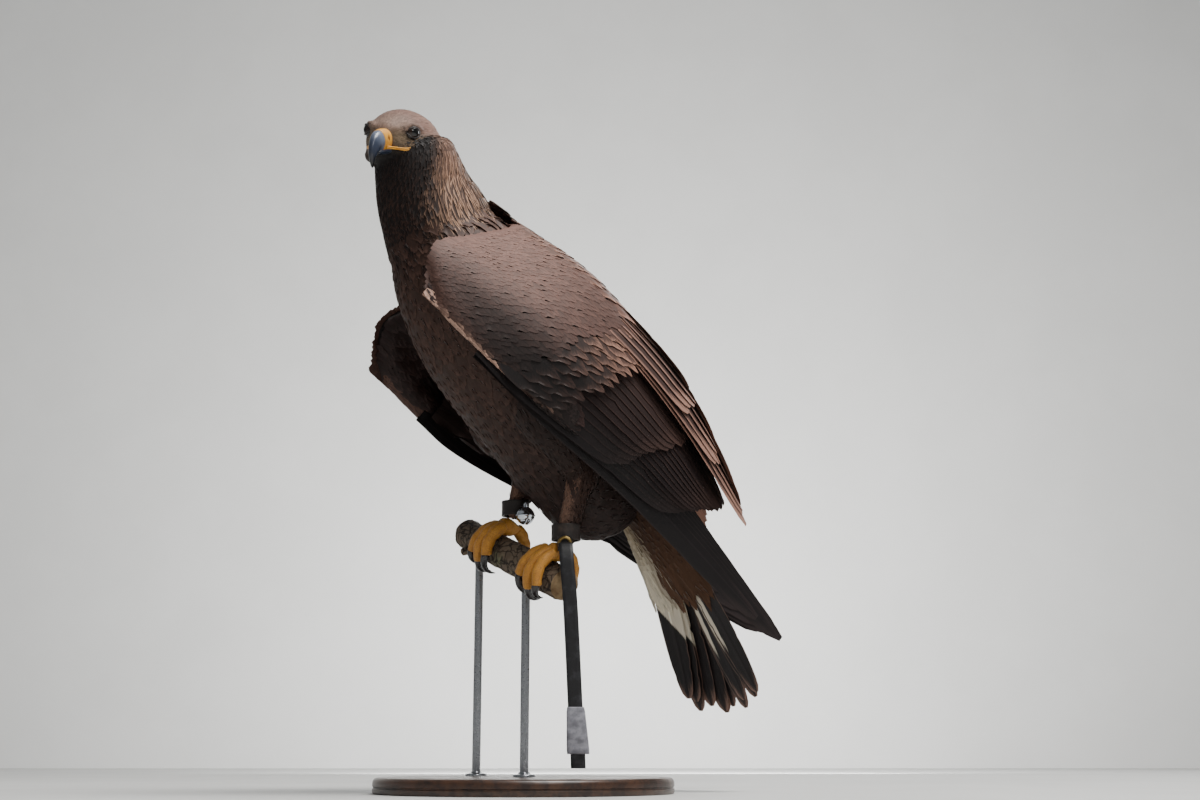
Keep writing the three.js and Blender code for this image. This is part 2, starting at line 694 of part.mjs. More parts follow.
function thigh(at, grow = 0) {
  const side = Math.sign(at.x);
  const low = heel(at);
  const rows = [
    [side * 62, -14, 206, 40, 46, 46],
    [side * 66, -2, 172, 38, 48, 46],
    [mix(side * 66, low.x, 0.6), mix(2, low.y, 0.6), mix(170, low.z, 0.55), 30, 37, 36],
    [low.x, low.y - 2, low.z - 4, 22, 25, 24],
    [low.x, low.y - 6, low.z - 26, 16.5, 18, 18],
  ];
  return loft(rows, 14, 6, { start: 0.2, end: 0.05, grow });
}

// What the bird wears

// A leather cuff round the lower leg, just above the foot.
function anklet(at, lift, height) {
  const place = ankle(at);
  const inner = TARSUS_RADIUS + 1.4;
  const ring = new THREE.LatheGeometry(
    [
      [inner, 0],
      [inner + 2, 0],
      [inner + 2, height],
      [inner, height],
      [inner, 0],
    ].map(([x, y]) => new THREE.Vector2(x, y)),
    14,
  );
  ring.rotateX(Math.PI / 2);
  ring.translate(place.x, place.y + (22 * lift) / TARSUS_LENGTH, place.z + lift);
  return solid(ring);
}

// The eyelet of the left cuff faces out and a little forward, and the strap hangs from it.
const OUTWARD = new THREE.Vector3(0.906, -0.423, 0);
const LEVEL = new THREE.Vector3(0.423, 0.906, 0);
const CUFF_LIFT = 3;
const CUFF_HEIGHT = 18;
const eyeletPlace = ankle(LEFT_FOOT)
  .add(new THREE.Vector3(0, 0, -2))
  .addScaledVector(OUTWARD, TARSUS_RADIUS + 7.2);
const DOWN = new THREE.Vector3(0, 0, -1);

// A piece set on the eyelet's axis: across, up, and out of the leg.
const fromEyelet = (across, up, out) =>
  eyeletPlace.clone().addScaledVector(LEVEL, across).addScaledVector(DOWN, -up).addScaledVector(OUTWARD, out);

function eyelet() {
  const ring = new THREE.TorusGeometry(6.2, 1.9, 6, 14);
  return solid(shape(ring, ({ x, y, z }) => fromEyelet(x, y, z)));
}

// The tab of the cuff that carries the eyelet.
function cuffTab() {
  return leaf(2, 2, (x, t, face) => fromEyelet(x * 8.4, 8.6 - 17.2 * t, -4.2 + face * 1.6));
}

// The strap: from the eyelet over the perch's cut end and straight down.
const STRAP_WIDTH = 16;
const STRAP_THICK = 2.2;
const STRAP_ROUTE = [
  fromEyelet(0, 0, 2.9),
  fromEyelet(1, -3, 7),
  fromEyelet(2, -12, 12.5),
  fromEyelet(3, -26, 15.5),
  fromEyelet(6, -60, 16.2),
  fromEyelet(9, -110, 16.4),
  fromEyelet(12, -170, 16.4),
  fromEyelet(15, -222, 16.2),
  fromEyelet(16, -246, 16),
];
function strap(grow = 0) {
  const curve = new THREE.CatmullRomCurve3(STRAP_ROUTE);
  return leaf(1, 13, (x, t, face) => {
    const p = curve.getPointAt(t);
    const along = curve.getTangentAt(t);
    const normal = along.clone().cross(LEVEL).negate().normalize();
    const width = (STRAP_WIDTH / 2) * mix(0.42, 1, smooth(t, 0.01, 0.1)) + grow;
    return p.addScaledVector(LEVEL, x * width).addScaledVector(normal, face * (STRAP_THICK / 2 + grow));
  });
}

// Grey tape wound round the strap near its end, in two uneven turns.
function tapeWrap() {
  const rows = [];
  for (const [up, wide, deep] of [[-182, 10.6, 2.6], [-192, 12, 3.4], [-208, 13, 3.6], [-224, 14.2, 3.2], [-230, 13.6, 2.6]]) {
    const at = fromEyelet(1.6 - up * 0.062, up, 16.3);
    rows.push([at.x, at.y, at.z, deep, wide, wide]);
  }
  const angle = () => THREE.MathUtils.radToDeg(Math.atan2(OUTWARD.y, OUTWARD.x));
  return loft(rows, 10, 5, { start: 0.04, end: 0.04, turn: angle });
}

// A round bell on a short thong, at the inner side of the right leg.
const bellPlace = ankle(RIGHT_FOOT).add(new THREE.Vector3(28.5, 2, 0));
const BELL_RADIUS = 11;
function thong() {
  const start = bellPlace.clone().add(new THREE.Vector3(-14.6, 0, BELL_RADIUS + 1.4));
  return leaf(1, 2, (x, t, face) => start.clone().add(new THREE.Vector3(9.8 * t, 2.6 * x, 0.9 * face)));
}
function bell() {
  const r = BELL_RADIUS;
  const profile = [[0, -r]];
  for (const angle of [-60, -30, -6, 6, 30, 60]) {
    const out = Math.abs(angle) < 10 ? r + 0.9 : r;
    profile.push([out * Math.cos(degrees(angle)), out * Math.sin(degrees(angle))]);
  }
  profile.push([0, r]);
  const body = new THREE.LatheGeometry(profile.map(([x, y]) => new THREE.Vector2(x, y)), 10).rotateX(Math.PI / 2);
  const slot = new THREE.BoxGeometry(30, 1.6, 9).translate(0, 0, -r);
  const loop = new THREE.TorusGeometry(3.4, 1.1, 4, 10).rotateX(Math.PI / 2).translate(0, 0, r + 1.4);
  const made = join([solid(body), solid(loop)]).subtract(solid(slot));
  return made.translate(bellPlace.toArray());
}

// Stand

// The perch: a cut length of branch, a little uneven, with two short stubs of twigs.
function perch(grow = 0) {
  const rows = [];
  const wave = [0.4, -0.5, 0, 0, 0, 0, 0, 0, -0.2];
  wave.forEach((swell, i) => {
    const s = mix(PERCH_FAR, PERCH_NEAR, i / (wave.length - 1));
    const p = perchMiddle.clone().addScaledVector(perchAlong, s);
    const radius = PERCH_RADIUS + swell * 2 + (i === 0 ? 1.4 : 0);
    rows.push([p.x, p.y, p.z, radius, radius, radius]);
  });
  const log = loft(rows, 16, 5, { start: 0.001, end: 0.001, grow, turn: () => 90 });
  const stub = (along, angle, long) => {
    const from = roundPerch(perchMiddle, along, angle, PERCH_RADIUS - 6);
    return tube([from, roundPerch(perchMiddle, along - 4, angle, PERCH_RADIUS + long)], [6.5, 4.2], 6, 2, grow);
  };
  return join([log, stub(-132, -62, 24), stub(-104, 118, 12)]);
}

function rod(along) {
  const top = perchMiddle.clone().addScaledVector(perchAlong, along);
  const foot = BASE_HEIGHT - PERCH_HEIGHT + GAP;
  const long = top.z - foot;
  const post = new THREE.CylinderGeometry(ROD_RADIUS, ROD_RADIUS, long, 10).rotateX(Math.PI / 2);
  const collar = new THREE.CylinderGeometry(ROD_RADIUS + 6, ROD_RADIUS + 8, 5, 14).rotateX(Math.PI / 2);
  post.translate(top.x, top.y, foot + long / 2);
  collar.translate(top.x, top.y, foot + 2.5);
  return join([solid(post), solid(collar)]);
}

function base() {
  const profile = [[0, 0], [BASE_RADIUS - 2, 0], [BASE_RADIUS, 2], [BASE_RADIUS, BASE_HEIGHT - 6]];
  for (let i = 1; i <= 2; i++) {
    const angle = degrees((90 * i) / 2);
    profile.push([BASE_RADIUS - 6 + 6 * Math.cos(angle), BASE_HEIGHT - 6 + 6 * Math.sin(angle)]);
  }
  profile.push([0, BASE_HEIGHT]);
  return solid(new THREE.LatheGeometry(profile.map(([x, y]) => new THREE.Vector2(x, y)), 26).rotateX(Math.PI / 2));
}

// The whole bird

const bird = new THREE.Group();
bird.position.z = PERCH_HEIGHT;

const torso = loft(TORSO, 18, 11, { start: 0.1, end: 0.12 });
const torsoGrown = loft(TORSO, 18, 11, { start: 0.1, end: 0.12, grow: GAP });
const skull = loft(inHead(HEAD), 16, 8, { start: 0.12, end: 0.3, turn: headTurn });
const skullGrown = loft(inHead(HEAD), 16, 8, { start: 0.12, end: 0.3, grow: GAP, turn: headTurn });
const headCuts = [
  eyeball(1, GAP),
  eyeball(-1, GAP),
  upperBill(GAP),
  lowerBill(GAP),
  gape(1, GAP),
  gape(-1, GAP),
];
const headWhole = join([skull, brow(1), brow(-1), lids(1), lids(-1)]);
bird.add(mesh("head", "brown", cut(headWhole, ...headCuts)));
for (const [name, side] of [["left", 1], ["right", -1]]) {
  bird.add(mesh(`eye_${name}`, "eye", eyeball(side), 0.05));
  bird.add(mesh(`gape_${name}`, "yellow", cut(gape(side), upperBill(GAP), lowerBill(GAP)), 0.5));
}
const hornCut = headBlock([-30, 30], [CERE_FRONT, 120], [-80, 60]);
const cereCut = headBlock([-30, 30], [0, CERE_FRONT + GAP], [-80, 60]);
const billWhole = cut(upperBill(), lowerBill(GAP));
bird.add(mesh("cere", "yellow", cut(billWhole, hornCut, nostril(1), nostril(-1)), 0.5));
bird.add(mesh("bill_upper", "horn", cut(billWhole, cereCut), 0.35));
bird.add(mesh("bill_lower", "horn", cut(lowerBill()), 0.4));

bird.add(mesh("neck", "pale", cut(join([neckCore(), ...hackles()]), torsoGrown, skullGrown, gape(1, GAP), gape(-1, GAP))));
bird.add(mesh("torso", "dark", torso));

const thighs = [];
for (const [name, at] of [["left", LEFT_FOOT], ["right", RIGHT_FOOT]]) {
  const side = Math.sign(at.x);
  const claws = Object.entries(TOES);
  thighs.push(thigh(at, GAP));
  bird.add(mesh(`thigh_${name}`, "dark", cut(thigh(at), torsoGrown)));
  bird.add(mesh(`tarsus_${name}`, "brown", cut(tarsus(at), thigh(at, GAP), foot(at, side), torsoGrown)));
  bird.add(mesh(`foot_${name}`, "yellow", cut(foot(at, side), ...claws.map(([, sizes]) => claw(at, side, sizes, GAP))), 0.55));
  for (const [finger, sizes] of claws) {
    bird.add(mesh(`claw_${finger}_${name}`, "claw", claw(at, side, sizes), 0.3));
  }
}

const secondaries = wingSecondaries();
const primaries = wingPrimaries();
const tertials = wingTertials();
const arm = wingArm();
const shoulders = scapulars();
for (const name of ["left", "right"]) {
  const set = (made) => (name === "left" ? made : mirrored(made));
  bird.add(mesh(`wing_${name}_arm`, "brown", cut(set(arm), torsoGrown)));
  bird.add(mesh(`wing_${name}_secondaries`, "quill", cut(set(secondaries), torsoGrown)));
  bird.add(mesh(`wing_${name}_primaries`, "quill", cut(set(primaries), torsoGrown)));
  bird.add(mesh(`wing_${name}_tertials`, "brown", cut(set(tertials), torsoGrown)));
  bird.add(mesh(`scapulars_${name}`, "brown", cut(set(shoulders), torsoGrown)));
}

bird.add(mesh("tail", "quill", cut(tailFeathers(), torsoGrown)));
bird.add(mesh("tail_coverts_upper", "brown", cut(tailCoverts(true), torsoGrown)));
bird.add(mesh("tail_coverts_lower", "pale", cut(tailCoverts(false), torsoGrown)));

const footLeft = foot(LEFT_FOOT, 1);
const tarsusSpace = tarsus(LEFT_FOOT, GAP);
bird.add(mesh("anklet_left", "leather", cut(join([anklet(LEFT_FOOT, CUFF_LIFT, CUFF_HEIGHT), cuffTab()]), tarsusSpace, footLeft)));
bird.add(mesh("anklet_right", "leather", cut(join([anklet(RIGHT_FOOT, CUFF_LIFT, CUFF_HEIGHT), thong()]), tarsus(RIGHT_FOOT, GAP), foot(RIGHT_FOOT, -1))));
bird.add(mesh("eyelet", "brass", cut(eyelet()), 0.35, 0.9));
bird.add(mesh("strap", "leather", cut(strap())));
bird.add(mesh("strap_tape", "tape", cut(tapeWrap(), strap(GAP))));
bird.add(mesh("bell", "nickel", cut(bell()), 0.25, 1));

bird.add(mesh("stand_perch", "bark", perch(), 0.95));
ROD_PLACES.forEach((along, i) => {
  bird.add(mesh(`stand_rod_${i + 1}`, "steel", cut(rod(along), perch(GAP)), 0.35, 1));
});

const eagle = new THREE.Group();
eagle.add(bird);
eagle.add(mesh("stand_base", "wood", base(), 0.6));

export default eagle;
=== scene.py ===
"""Looks of the perched golden eagle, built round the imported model.

The bird's tables are in millimetres about the middle of its perch: X to its left, Y to its tail, Z up.
A piece's mesh is in metres in the model's frame. A place on the skin is (a, b): a runs the way that the
feathers lie and b goes across it.
"""

import math

import bmesh
import bpy
import numpy as np
from mathutils import Matrix, Vector, noise
from mathutils.bvhtree import BVHTree
from mathutils.kdtree import KDTree

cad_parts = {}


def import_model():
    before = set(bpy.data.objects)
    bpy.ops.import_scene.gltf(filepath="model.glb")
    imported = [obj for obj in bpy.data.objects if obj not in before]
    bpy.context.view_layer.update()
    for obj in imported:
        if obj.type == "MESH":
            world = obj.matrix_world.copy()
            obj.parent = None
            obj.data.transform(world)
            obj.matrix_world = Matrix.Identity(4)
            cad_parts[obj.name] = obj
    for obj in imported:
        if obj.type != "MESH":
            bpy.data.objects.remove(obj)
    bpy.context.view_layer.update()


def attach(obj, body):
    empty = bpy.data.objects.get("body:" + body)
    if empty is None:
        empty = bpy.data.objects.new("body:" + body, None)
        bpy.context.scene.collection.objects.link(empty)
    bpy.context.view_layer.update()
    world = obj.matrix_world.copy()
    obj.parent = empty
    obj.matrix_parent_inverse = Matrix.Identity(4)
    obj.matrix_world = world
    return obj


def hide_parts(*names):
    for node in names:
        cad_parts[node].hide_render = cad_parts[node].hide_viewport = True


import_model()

MM = 0.001
PERCH_HEIGHT = 265.0  # the perch's middle above the floor
PERCH_RADIUS = 20.0
PERCH_NEAR = 92.0
PERCH_FAR = -150.0
BASE_RADIUS = 170.0
BASE_HEIGHT = 18.0
ROD_RADIUS = 5.0
ROD_PLACES = (2.0, -118.0)

LEFT_FOOT = np.array([57.0, 7.0, -27.0])
RIGHT_FOOT = np.array([-57.0, -9.0, 15.0])
TOE_RADIUS = 7.6
TARSUS_RADIUS = 13.0
TARSUS_LENGTH = 88.0

HEAD_PLACE = (22.0, -178.0, 477.0)
HEAD_TURN = 51.0
HEAD_NOD = -20.0
HEAD_ROLL = 9.0
EYE_RADIUS = 9.9
EYE_PLACE = np.array([23.6, 19.4, 13.0])
EYE_WAY = np.array([0.8, 0.58, 0.1])  # the way the left eye looks, in the head's frame

TAIL_ROOT = np.array([0.0, 150.0, 116.0])
TAIL_DROP = 65.0
TAIL_ROLL = 11.0
TAIL_LENGTH = 314.0
TAIL_FEATHERS = 12
TAIL_SPREAD = 12.5

RIGHT_WING_SHIFT = np.array([0.0, 21.0, -24.0])
RIGHT_WING_LIFT = 5.0

TORSO = [
    [0, -118, 404, 52, 50, 56],
    [0, -100, 364, 76, 76, 76],
    [0, -80, 318, 92, 92, 82],
    [0, -58, 268, 96, 104, 79],
    [0, -30, 222, 94, 106, 72],
    [0, 6, 180, 88, 98, 70],
    [0, 48, 146, 78, 78, 82],
    [0, 95, 124, 64, 54, 102],
    [0, 133, 110, 46, 34, 84],
    [0, 162, 102, 28, 20, 44],
]
NECK = [
    [17, -158, 486, 46, 48, 50],
    [13, -149, 458, 52, 54, 56],
    [7, -136, 424, 57, 62, 62],
    [3, -118, 388, 64, 68, 68],
    [0, -102, 352, 66, 60, 70],
]
HEAD = [
    [0, 47, 4, 12, 13, 11],
    [0, 36, 4, 20, 22, 19],
    [0, 22, 3, 30, 31, 27],
    [0, 6, 2, 37, 37, 36],
    [0, -14, 0, 43, 41, 43],
    [0, -36, -5, 48, 41, 46],
    [0, -56, -12, 46, 39, 42],
]
WING = [
    [[140, -176, 262], [126, -164, 327], [100, -112, 354], [66, -48, 387], [22, -46, 414]],
    [[148, -60, 160], [154, -28, 215], [132, 12, 268], [88, 54, 318], [24, 40, 341]],
    [[122, 110, 55], [128, 125, 102], [116, 143, 150], [82, 160, 205], [28, 122, 238]],
    [[78, 312, -98], [84, 296, -56], [80, 278, -12], [68, 252, 50], [32, 208, 88]],
]
BILL = [
    [0, 30, 3, 12, 15, 11],
    [0, 42, 4, 10, 16, 11.5],
    [0, 54, 3.5, 8.4, 15, 11.5],
    [0, 64, 0.5, 7.0, 12.5, 11.5],
    [0, 71, -6, 5.6, 10, 10.5],
    [0, 75.5, -14, 4.0, 7, 7.4],
    [0, 76, -22.5, 2.4, 4, 4],
    [0, 74, -29, 1, 1.4, 1.4],
]
LOWER_BILL = [
    [0, 26, -9, 11, 4, 6.5],
    [0, 42, -9.5, 8.6, 4, 6],
    [0, 56, -11, 6.2, 3.5, 4.6],
    [0, 66, -13, 3.8, 2.6, 3],
]


# Small sums


def mix(a, b, t):
    return a + (b - a) * t


def smooth(x, low, high):
    s = np.clip((np.asarray(x, float) - low) / (high - low), 0, 1)
    return s * s * (3 - 2 * s)


def unit(v):
    return v / np.maximum(np.linalg.norm(v, axis=-1, keepdims=True), 1e-9)


def dot(a, b):
    return (a * b).sum(-1)


def tone(r, g, b):
    """A colour of a screen, from 0 to 255, as the linear colour that materials take."""
    return tuple((c / 255) ** 2.2 for c in (r, g, b))


def catmull(rows, t):
    """Rows as one smooth curve at t, from 0 to 1, that goes straight on past its ends."""
    last = len(rows) - 1
    t = np.asarray(t, float)
    i = np.clip(np.floor(t * last).astype(int), 0, last - 1)
    f = (t * last - i)[..., None]
    ends = np.concatenate([2 * rows[:1] - rows[1:2], rows, 2 * rows[-1:] - rows[-2:-1]])
    if rows.ndim == 2:
        a, b, c, d = (ends[i + k] for k in range(4))
    else:
        ends = ends.reshape(len(ends), -1, 3)
        place = np.arange(ends.shape[1])
        a, b, c, d = (ends[i.ravel() + k, place].reshape(rows.shape[1:]) for k in range(4))
    g = np.clip(f, 0, 1)
    inside = b + 0.5 * g * (c - a + g * (2 * a - 5 * b + 4 * c - d + g * (3 * (b - c) + d - a)))
    return inside + (f - g) * (c - b)


def filled(t, start, end):
    """How far a rounded form has filled out at t: its ends close as half ellipses."""

    def rise(x):
        return np.sqrt(np.clip(1 - (1 - np.clip(x, 0, 1)) ** 2, 0, 1))

    return rise(t / max(start, 1e-6)) * rise((1 - t) / max(end, 1e-6))


def inset(t):
    """t kept just off 0 and 1, where a rounded end has no width."""
    return mix(0.004, 0.996, t)


def run(points):
    """How far along a line of points each of them is."""
    return np.concatenate([[0], np.cumsum(np.linalg.norm(np.diff(points, axis=0), axis=1))])


def world(points):
    """Places of the bird's tables as places of the model."""
    return (np.asarray(points, float) + np.array([0, 0, PERCH_HEIGHT])) * MM


# Surfaces of the bird


class Surface:
    """A surface of places (a, b), in millimetres. steps are the small moves that its slopes are read by."""

    steps = (0.004, 0.004)
    outward = 1

    def base(self, a, b):
        raise NotImplementedError

    def slopes(self, a, b):
        i, j = self.steps
        along = (self.base(a + i, b) - self.base(a - i, b)) / (2 * i)
        across = (self.base(a, b + j) - self.base(a, b - j)) / (2 * j)
        return along, across

    def at(self, a, b, height=0.0):
        along, across = self.slopes(a, b)
        normal = unit(np.cross(across, along)) * self.outward
        return self.base(a, b) + normal * np.asarray(height)[..., None]


class Form(Surface):
    """A rounded body form. a goes along its rows and b round it, in degrees from its back."""

    steps = (0.004, 1.0)

    def __init__(self, rows, start=0.06, end=0.06, turn=lambda t: 0 * t):
        self.rows = np.array(rows, float)
        self.ends = (start, end)
        self.turn = turn

    def frame(self, t):
        row = catmull(self.rows, t)
        ahead = catmull(self.rows, t + 0.01)[..., :3] - catmull(self.rows, t - 0.01)[..., :3]
        along = unit(ahead)
        angle = np.radians(self.turn(t))
        side = np.stack([np.cos(angle), np.sin(angle), 0 * angle], -1)
        side = unit(side - along * dot(side, along)[..., None])
        return row, along, side, np.cross(side, along)

    def base(self, a, b):
        row, _, side, back = self.frame(a)
        full = filled(inset(np.clip(a, 0, 1)), *self.ends)
        sin, cos = np.sin(np.radians(b)), np.cos(np.radians(b))
        up = np.where(cos > 0, row[..., 4], row[..., 5])
        out = side * (sin * row[..., 3] * full)[..., None] + back * (cos * up * full)[..., None]
        return row[..., :3] + out


def turned(angles):
    """The head's frame in the bird's, as a 4 by 4 matrix."""
    turn, nod, roll = (math.radians(v) for v in angles)
    spin = Matrix.Rotation(turn, 4, "Z") @ Matrix.Rotation(-nod, 4, "X") @ Matrix.Rotation(roll, 4, "Y")
    return np.array(Matrix.Translation(HEAD_PLACE) @ spin)


HEAD_FRAME = turned((HEAD_TURN, HEAD_NOD, HEAD_ROLL))


def head_point(side, forward, up):
    """A place in the head's frame: sideways, forward and up."""
    side, forward, up = np.broadcast_arrays(*(np.asarray(v, float) for v in (side, forward, up)))
    return np.stack([side, -forward, up], -1) @ HEAD_FRAME[:3, :3].T + HEAD_FRAME[:3, 3]


def from_head(points):
    """Places of the bird as sideways, forward and up in the head's frame."""
    local = (points - HEAD_FRAME[:3, 3]) @ HEAD_FRAME[:3, :3]
    return local[..., 0], -local[..., 1], local[..., 2]


def eye_axes():
    """The left eye's own directions in the head's frame: to its front, up, and out."""
    out = unit(EYE_WAY)
    front = unit(np.cross(np.array([0, 0, 1.0]), out))
    if front[1] < 0:
        front = -front
    up = np.cross(front, out)
    return front, up * np.sign(up[2]), out


def eye_frame(side, forward, up):
    """Places of the head from the nearer eye: to its front, up, out, and how far away."""
    front, high, out = eye_axes()
    from_eye = np.stack([np.abs(side), forward, up], -1) - EYE_PLACE
    return from_eye @ front, from_eye @ high, from_eye @ out, np.linalg.norm(from_eye, axis=-1)


def in_head(rows):
    return [[*head_point(*row[:3]), *row[3:]] for row in rows]


def neck_turn(t):
    return HEAD_TURN * (1 - smooth(t, 0, 0.8))


class WingTop(Surface):
    """The left wing's outer surface: a from the wrist to the tips, b from the leading edge to the back."""

    outward = -1

    def base(self, a, b):
        rows = np.stack([catmull(np.array(points, float), b) for points in WING])
        a = np.broadcast_to(a, rows.shape[1:-1])
        return catmull(rows, a)


HAND_END = 0.45  # where the hand ends, along the wing
WING_TOP = WingTop()
OPEN = 1e-6  # a form's end that doesn't close, for feathers that run on past it
HEAD_FORM = Form(in_head(HEAD), 0.12, 0.3, lambda t: HEAD_TURN + 0 * t)
NECK_FORM = Form(NECK, 0.1, 0.1, neck_turn)
TORSO_FORM = Form(TORSO, 0.1, 0.12)
NECK_COAT = Form(NECK, 0.1, OPEN, neck_turn)
TORSO_COAT = Form(TORSO, OPEN, OPEN)


def arm_step(u):
    return 0.15 + 0.2 * u


def arm_end(u):
    return 0.3 + 0.22 * u


def arm_reach(u):
    """How far the flesh of the wing reaches: along the leading edge it goes on as the hand."""
    return np.maximum(arm_step(u) * 1.02, HAND_END * (1 - smooth(u, 0.08, 0.34)))


class WingArm(Surface):
    """The thick of the wing, wrapped round its leading edge: b below 0 is the underside."""

    outward = -1

    def base(self, a, b):
        u = np.abs(b)
        meat = 19 + 10 * np.clip(1 - a / arm_step(u), 0, 1) + 30 * smooth(u, 0.45, 0.8)
        front = 0.06 * np.clip(1 - u / 0.22, 0, 1) ** 2
        nose = filled((np.clip(a, 0, 1) - front + 0.004) / 0.9, 0.07, 0.001)
        full = filled(np.clip(u / 0.8, 0, 1), 0.14, 0.001) * nose
        thick = meat * (1 - smooth(a, 0.75 * arm_step(u), 1.15 * arm_step(u)))
        hand = 21 * (1 - smooth(a, HAND_END - 0.33, HAND_END + 0.02)) * (1 - smooth(u, 0.06, 0.3))
        thick = np.maximum(thick, hand)
        under = np.where(b < 0, -(0.25 + 0.75 * full), -0.25 * (1 - full))
        lift = np.where(b < 0, under * np.maximum(thick, 4.5), under * meat)
        return WING_TOP.at(a, u, lift)


WING_ARM = WingArm()


class WingUnder(Surface):
    """The underside of the wing's quills: b below 0, as on the arm's underside."""

    outward = -1

    def base(self, a, b):
        u = np.abs(b)
        return WING_TOP.at(a, u, -32 + 14 * smooth(a, 0.3, 0.8) + 6 * smooth(u, 0.3, 0.6))


def to_right(points):
    """The left wing's places as the right wing has them."""
    wrist = np.array(WING[0][0], float)
    moved = points * np.array([-1.0, 1, 1]) - np.array([0, wrist[1], wrist[2]])
    c, s = math.cos(math.radians(RIGHT_WING_LIFT)), math.sin(math.radians(RIGHT_WING_LIFT))
    y, z = moved[..., 1] * c - moved[..., 2] * s, moved[..., 1] * s + moved[..., 2] * c
    moved = np.stack([moved[..., 0], y, z], -1)
    return moved + np.array([0, wrist[1] + RIGHT_WING_SHIFT[1], wrist[2] + RIGHT_WING_SHIFT[2]])


def same(points):
    """The left wing's places as they are."""
    return points


drop = math.radians(TAIL_DROP)
TAIL_ALONG = np.array([0, math.cos(drop), -math.sin(drop)])
TAIL_SIDE = np.array(Matrix.Rotation(math.radians(-TAIL_ROLL), 3, Vector(TAIL_ALONG)) @ Vector((1, 0, 0)))
TAIL_BACK = np.cross(TAIL_SIDE, TAIL_ALONG)


def tail_point(side, along, up):
    side, along, up = np.broadcast_arrays(*(np.asarray(v, float) for v in (side, along, up)))
    return TAIL_ROOT + side[..., None] * TAIL_SIDE + along[..., None] * TAIL_ALONG + up[..., None] * TAIL_BACK


class TailFace(Surface):
    """The root of the tail, above or below: a along it in millimetres, b across it in degrees."""

    steps = (1.0, 1.0)

    def __init__(self, above):
        self.above = above

    def base(self, a, b):
        a, b = np.broadcast_arrays(a, b)
        angle = np.radians(b)
        wide = 38 + 0.16 * a
        if self.above:
            deep = np.interp(a, [-20, 30, 90, 180], [17, 15, 8, 2])
        else:
            deep = np.interp(a, [-20, 40, 110, 190], [34, 30, 15, 4])
        sign = 1 if self.above else -1
        middle = 3 if self.above else -13
        return tail_point(wide * np.sin(angle), a, middle + sign * deep * np.cos(angle))


# Legs

PERCH_ALONG = unit(LEFT_FOOT - RIGHT_FOOT)
PERCH_MIDDLE = (LEFT_FOOT + RIGHT_FOOT) / 2
PERCH_FRONT = unit(-np.cross([0, 0, 1], PERCH_ALONG))
PERCH_UP = np.cross(PERCH_FRONT, PERCH_ALONG)
if PERCH_UP[2] < 0:
    PERCH_UP = -PERCH_UP


def round_perch(foot, along, angle, distance):
    sin, cos = math.sin(math.radians(angle)), math.cos(math.radians(angle))
    return foot + PERCH_ALONG * along + PERCH_FRONT * distance * sin + PERCH_UP * distance * cos


def ankle(foot):
    return round_perch(foot, 0, -14, PERCH_RADIUS + 2 * TOE_RADIUS + 7)


def heel(foot):
    return ankle(foot) + np.array([0, 22, TARSUS_LENGTH])


def tarsus_rows(foot):
    low, high = ankle(foot), heel(foot)
    rows = [[*mix(low, high, t), r, r + 1, r + 1] for t, r in [(0, 11), (0.25, 13), (0.6, 14.5), (1, 18)]]
    return rows[::-1]


def thigh_rows(foot):
    side = np.sign(foot[0])
    low = heel(foot)
    return [
        [side * 62, -14, 206, 40, 46, 46],
        [side * 66, -2, 172, 38, 48, 46],
        [mix(side * 66, low[0], 0.6), mix(2, low[1], 0.6), mix(170, low[2], 0.55), 30, 37, 36],
        [low[0], low[1] - 2, low[2] - 4, 22, 25, 24],
        [low[0], low[1] - 6, low[2] - 26, 16.5, 18, 18],
    ]


# Mesh making


def new_piece(name, mesh, material, replaces=()):
    piece = bpy.data.objects.new(name, mesh)
    bpy.context.scene.collection.objects.link(piece)
    if material is not None:
        mesh.materials.clear()
        mesh.materials.append(material)
    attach(piece, "root")
    if replaces:
        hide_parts(*replaces)
    return piece


def from_bmesh(name, bm, material, replaces=(), flat=False, crease=None):
    bmesh.ops.recalc_face_normals(bm, faces=bm.faces)
    mesh = bpy.data.meshes.new(name)
    bm.to_mesh(mesh)
    bm.free()
    if not flat:
        mesh.shade_smooth()
    if crease:
        mesh.set_sharp_from_angle(angle=math.radians(crease))
    return new_piece(name, mesh, material, replaces)


def ring_edges(*rings):
    """The edges that run round rings of vertices."""
    edges = set()
    for ring in rings:
        inside = set(ring)
        edges.update(edge for vert in ring for edge in vert.link_edges if edge.other_vert(vert) in inside)
    return list(edges)


def add_rings(bm, rings, closed=False):
    """Rings of places as one tube: each starts as a circle and is bridged to the one before it.

    Its two ends are capped, or with closed they meet.
    """
    loops = []
    for places in rings:
        made = bmesh.ops.create_circle(bm, segments=len(places), radius=1)["verts"]
        for vert, place in zip(made, world(places)):
            vert.co = place
        loops.append(made)
    for first, second in zip(loops, loops[1:]):
        bmesh.ops.bridge_loops(bm, edges=ring_edges(first, second))
    if closed:
        bmesh.ops.bridge_loops(bm, edges=ring_edges(loops[0], loops[-1]))
    else:
        for ring in (loops[0], loops[-1]):
            bmesh.ops.contextual_create(bm, geom=ring_edges(ring))


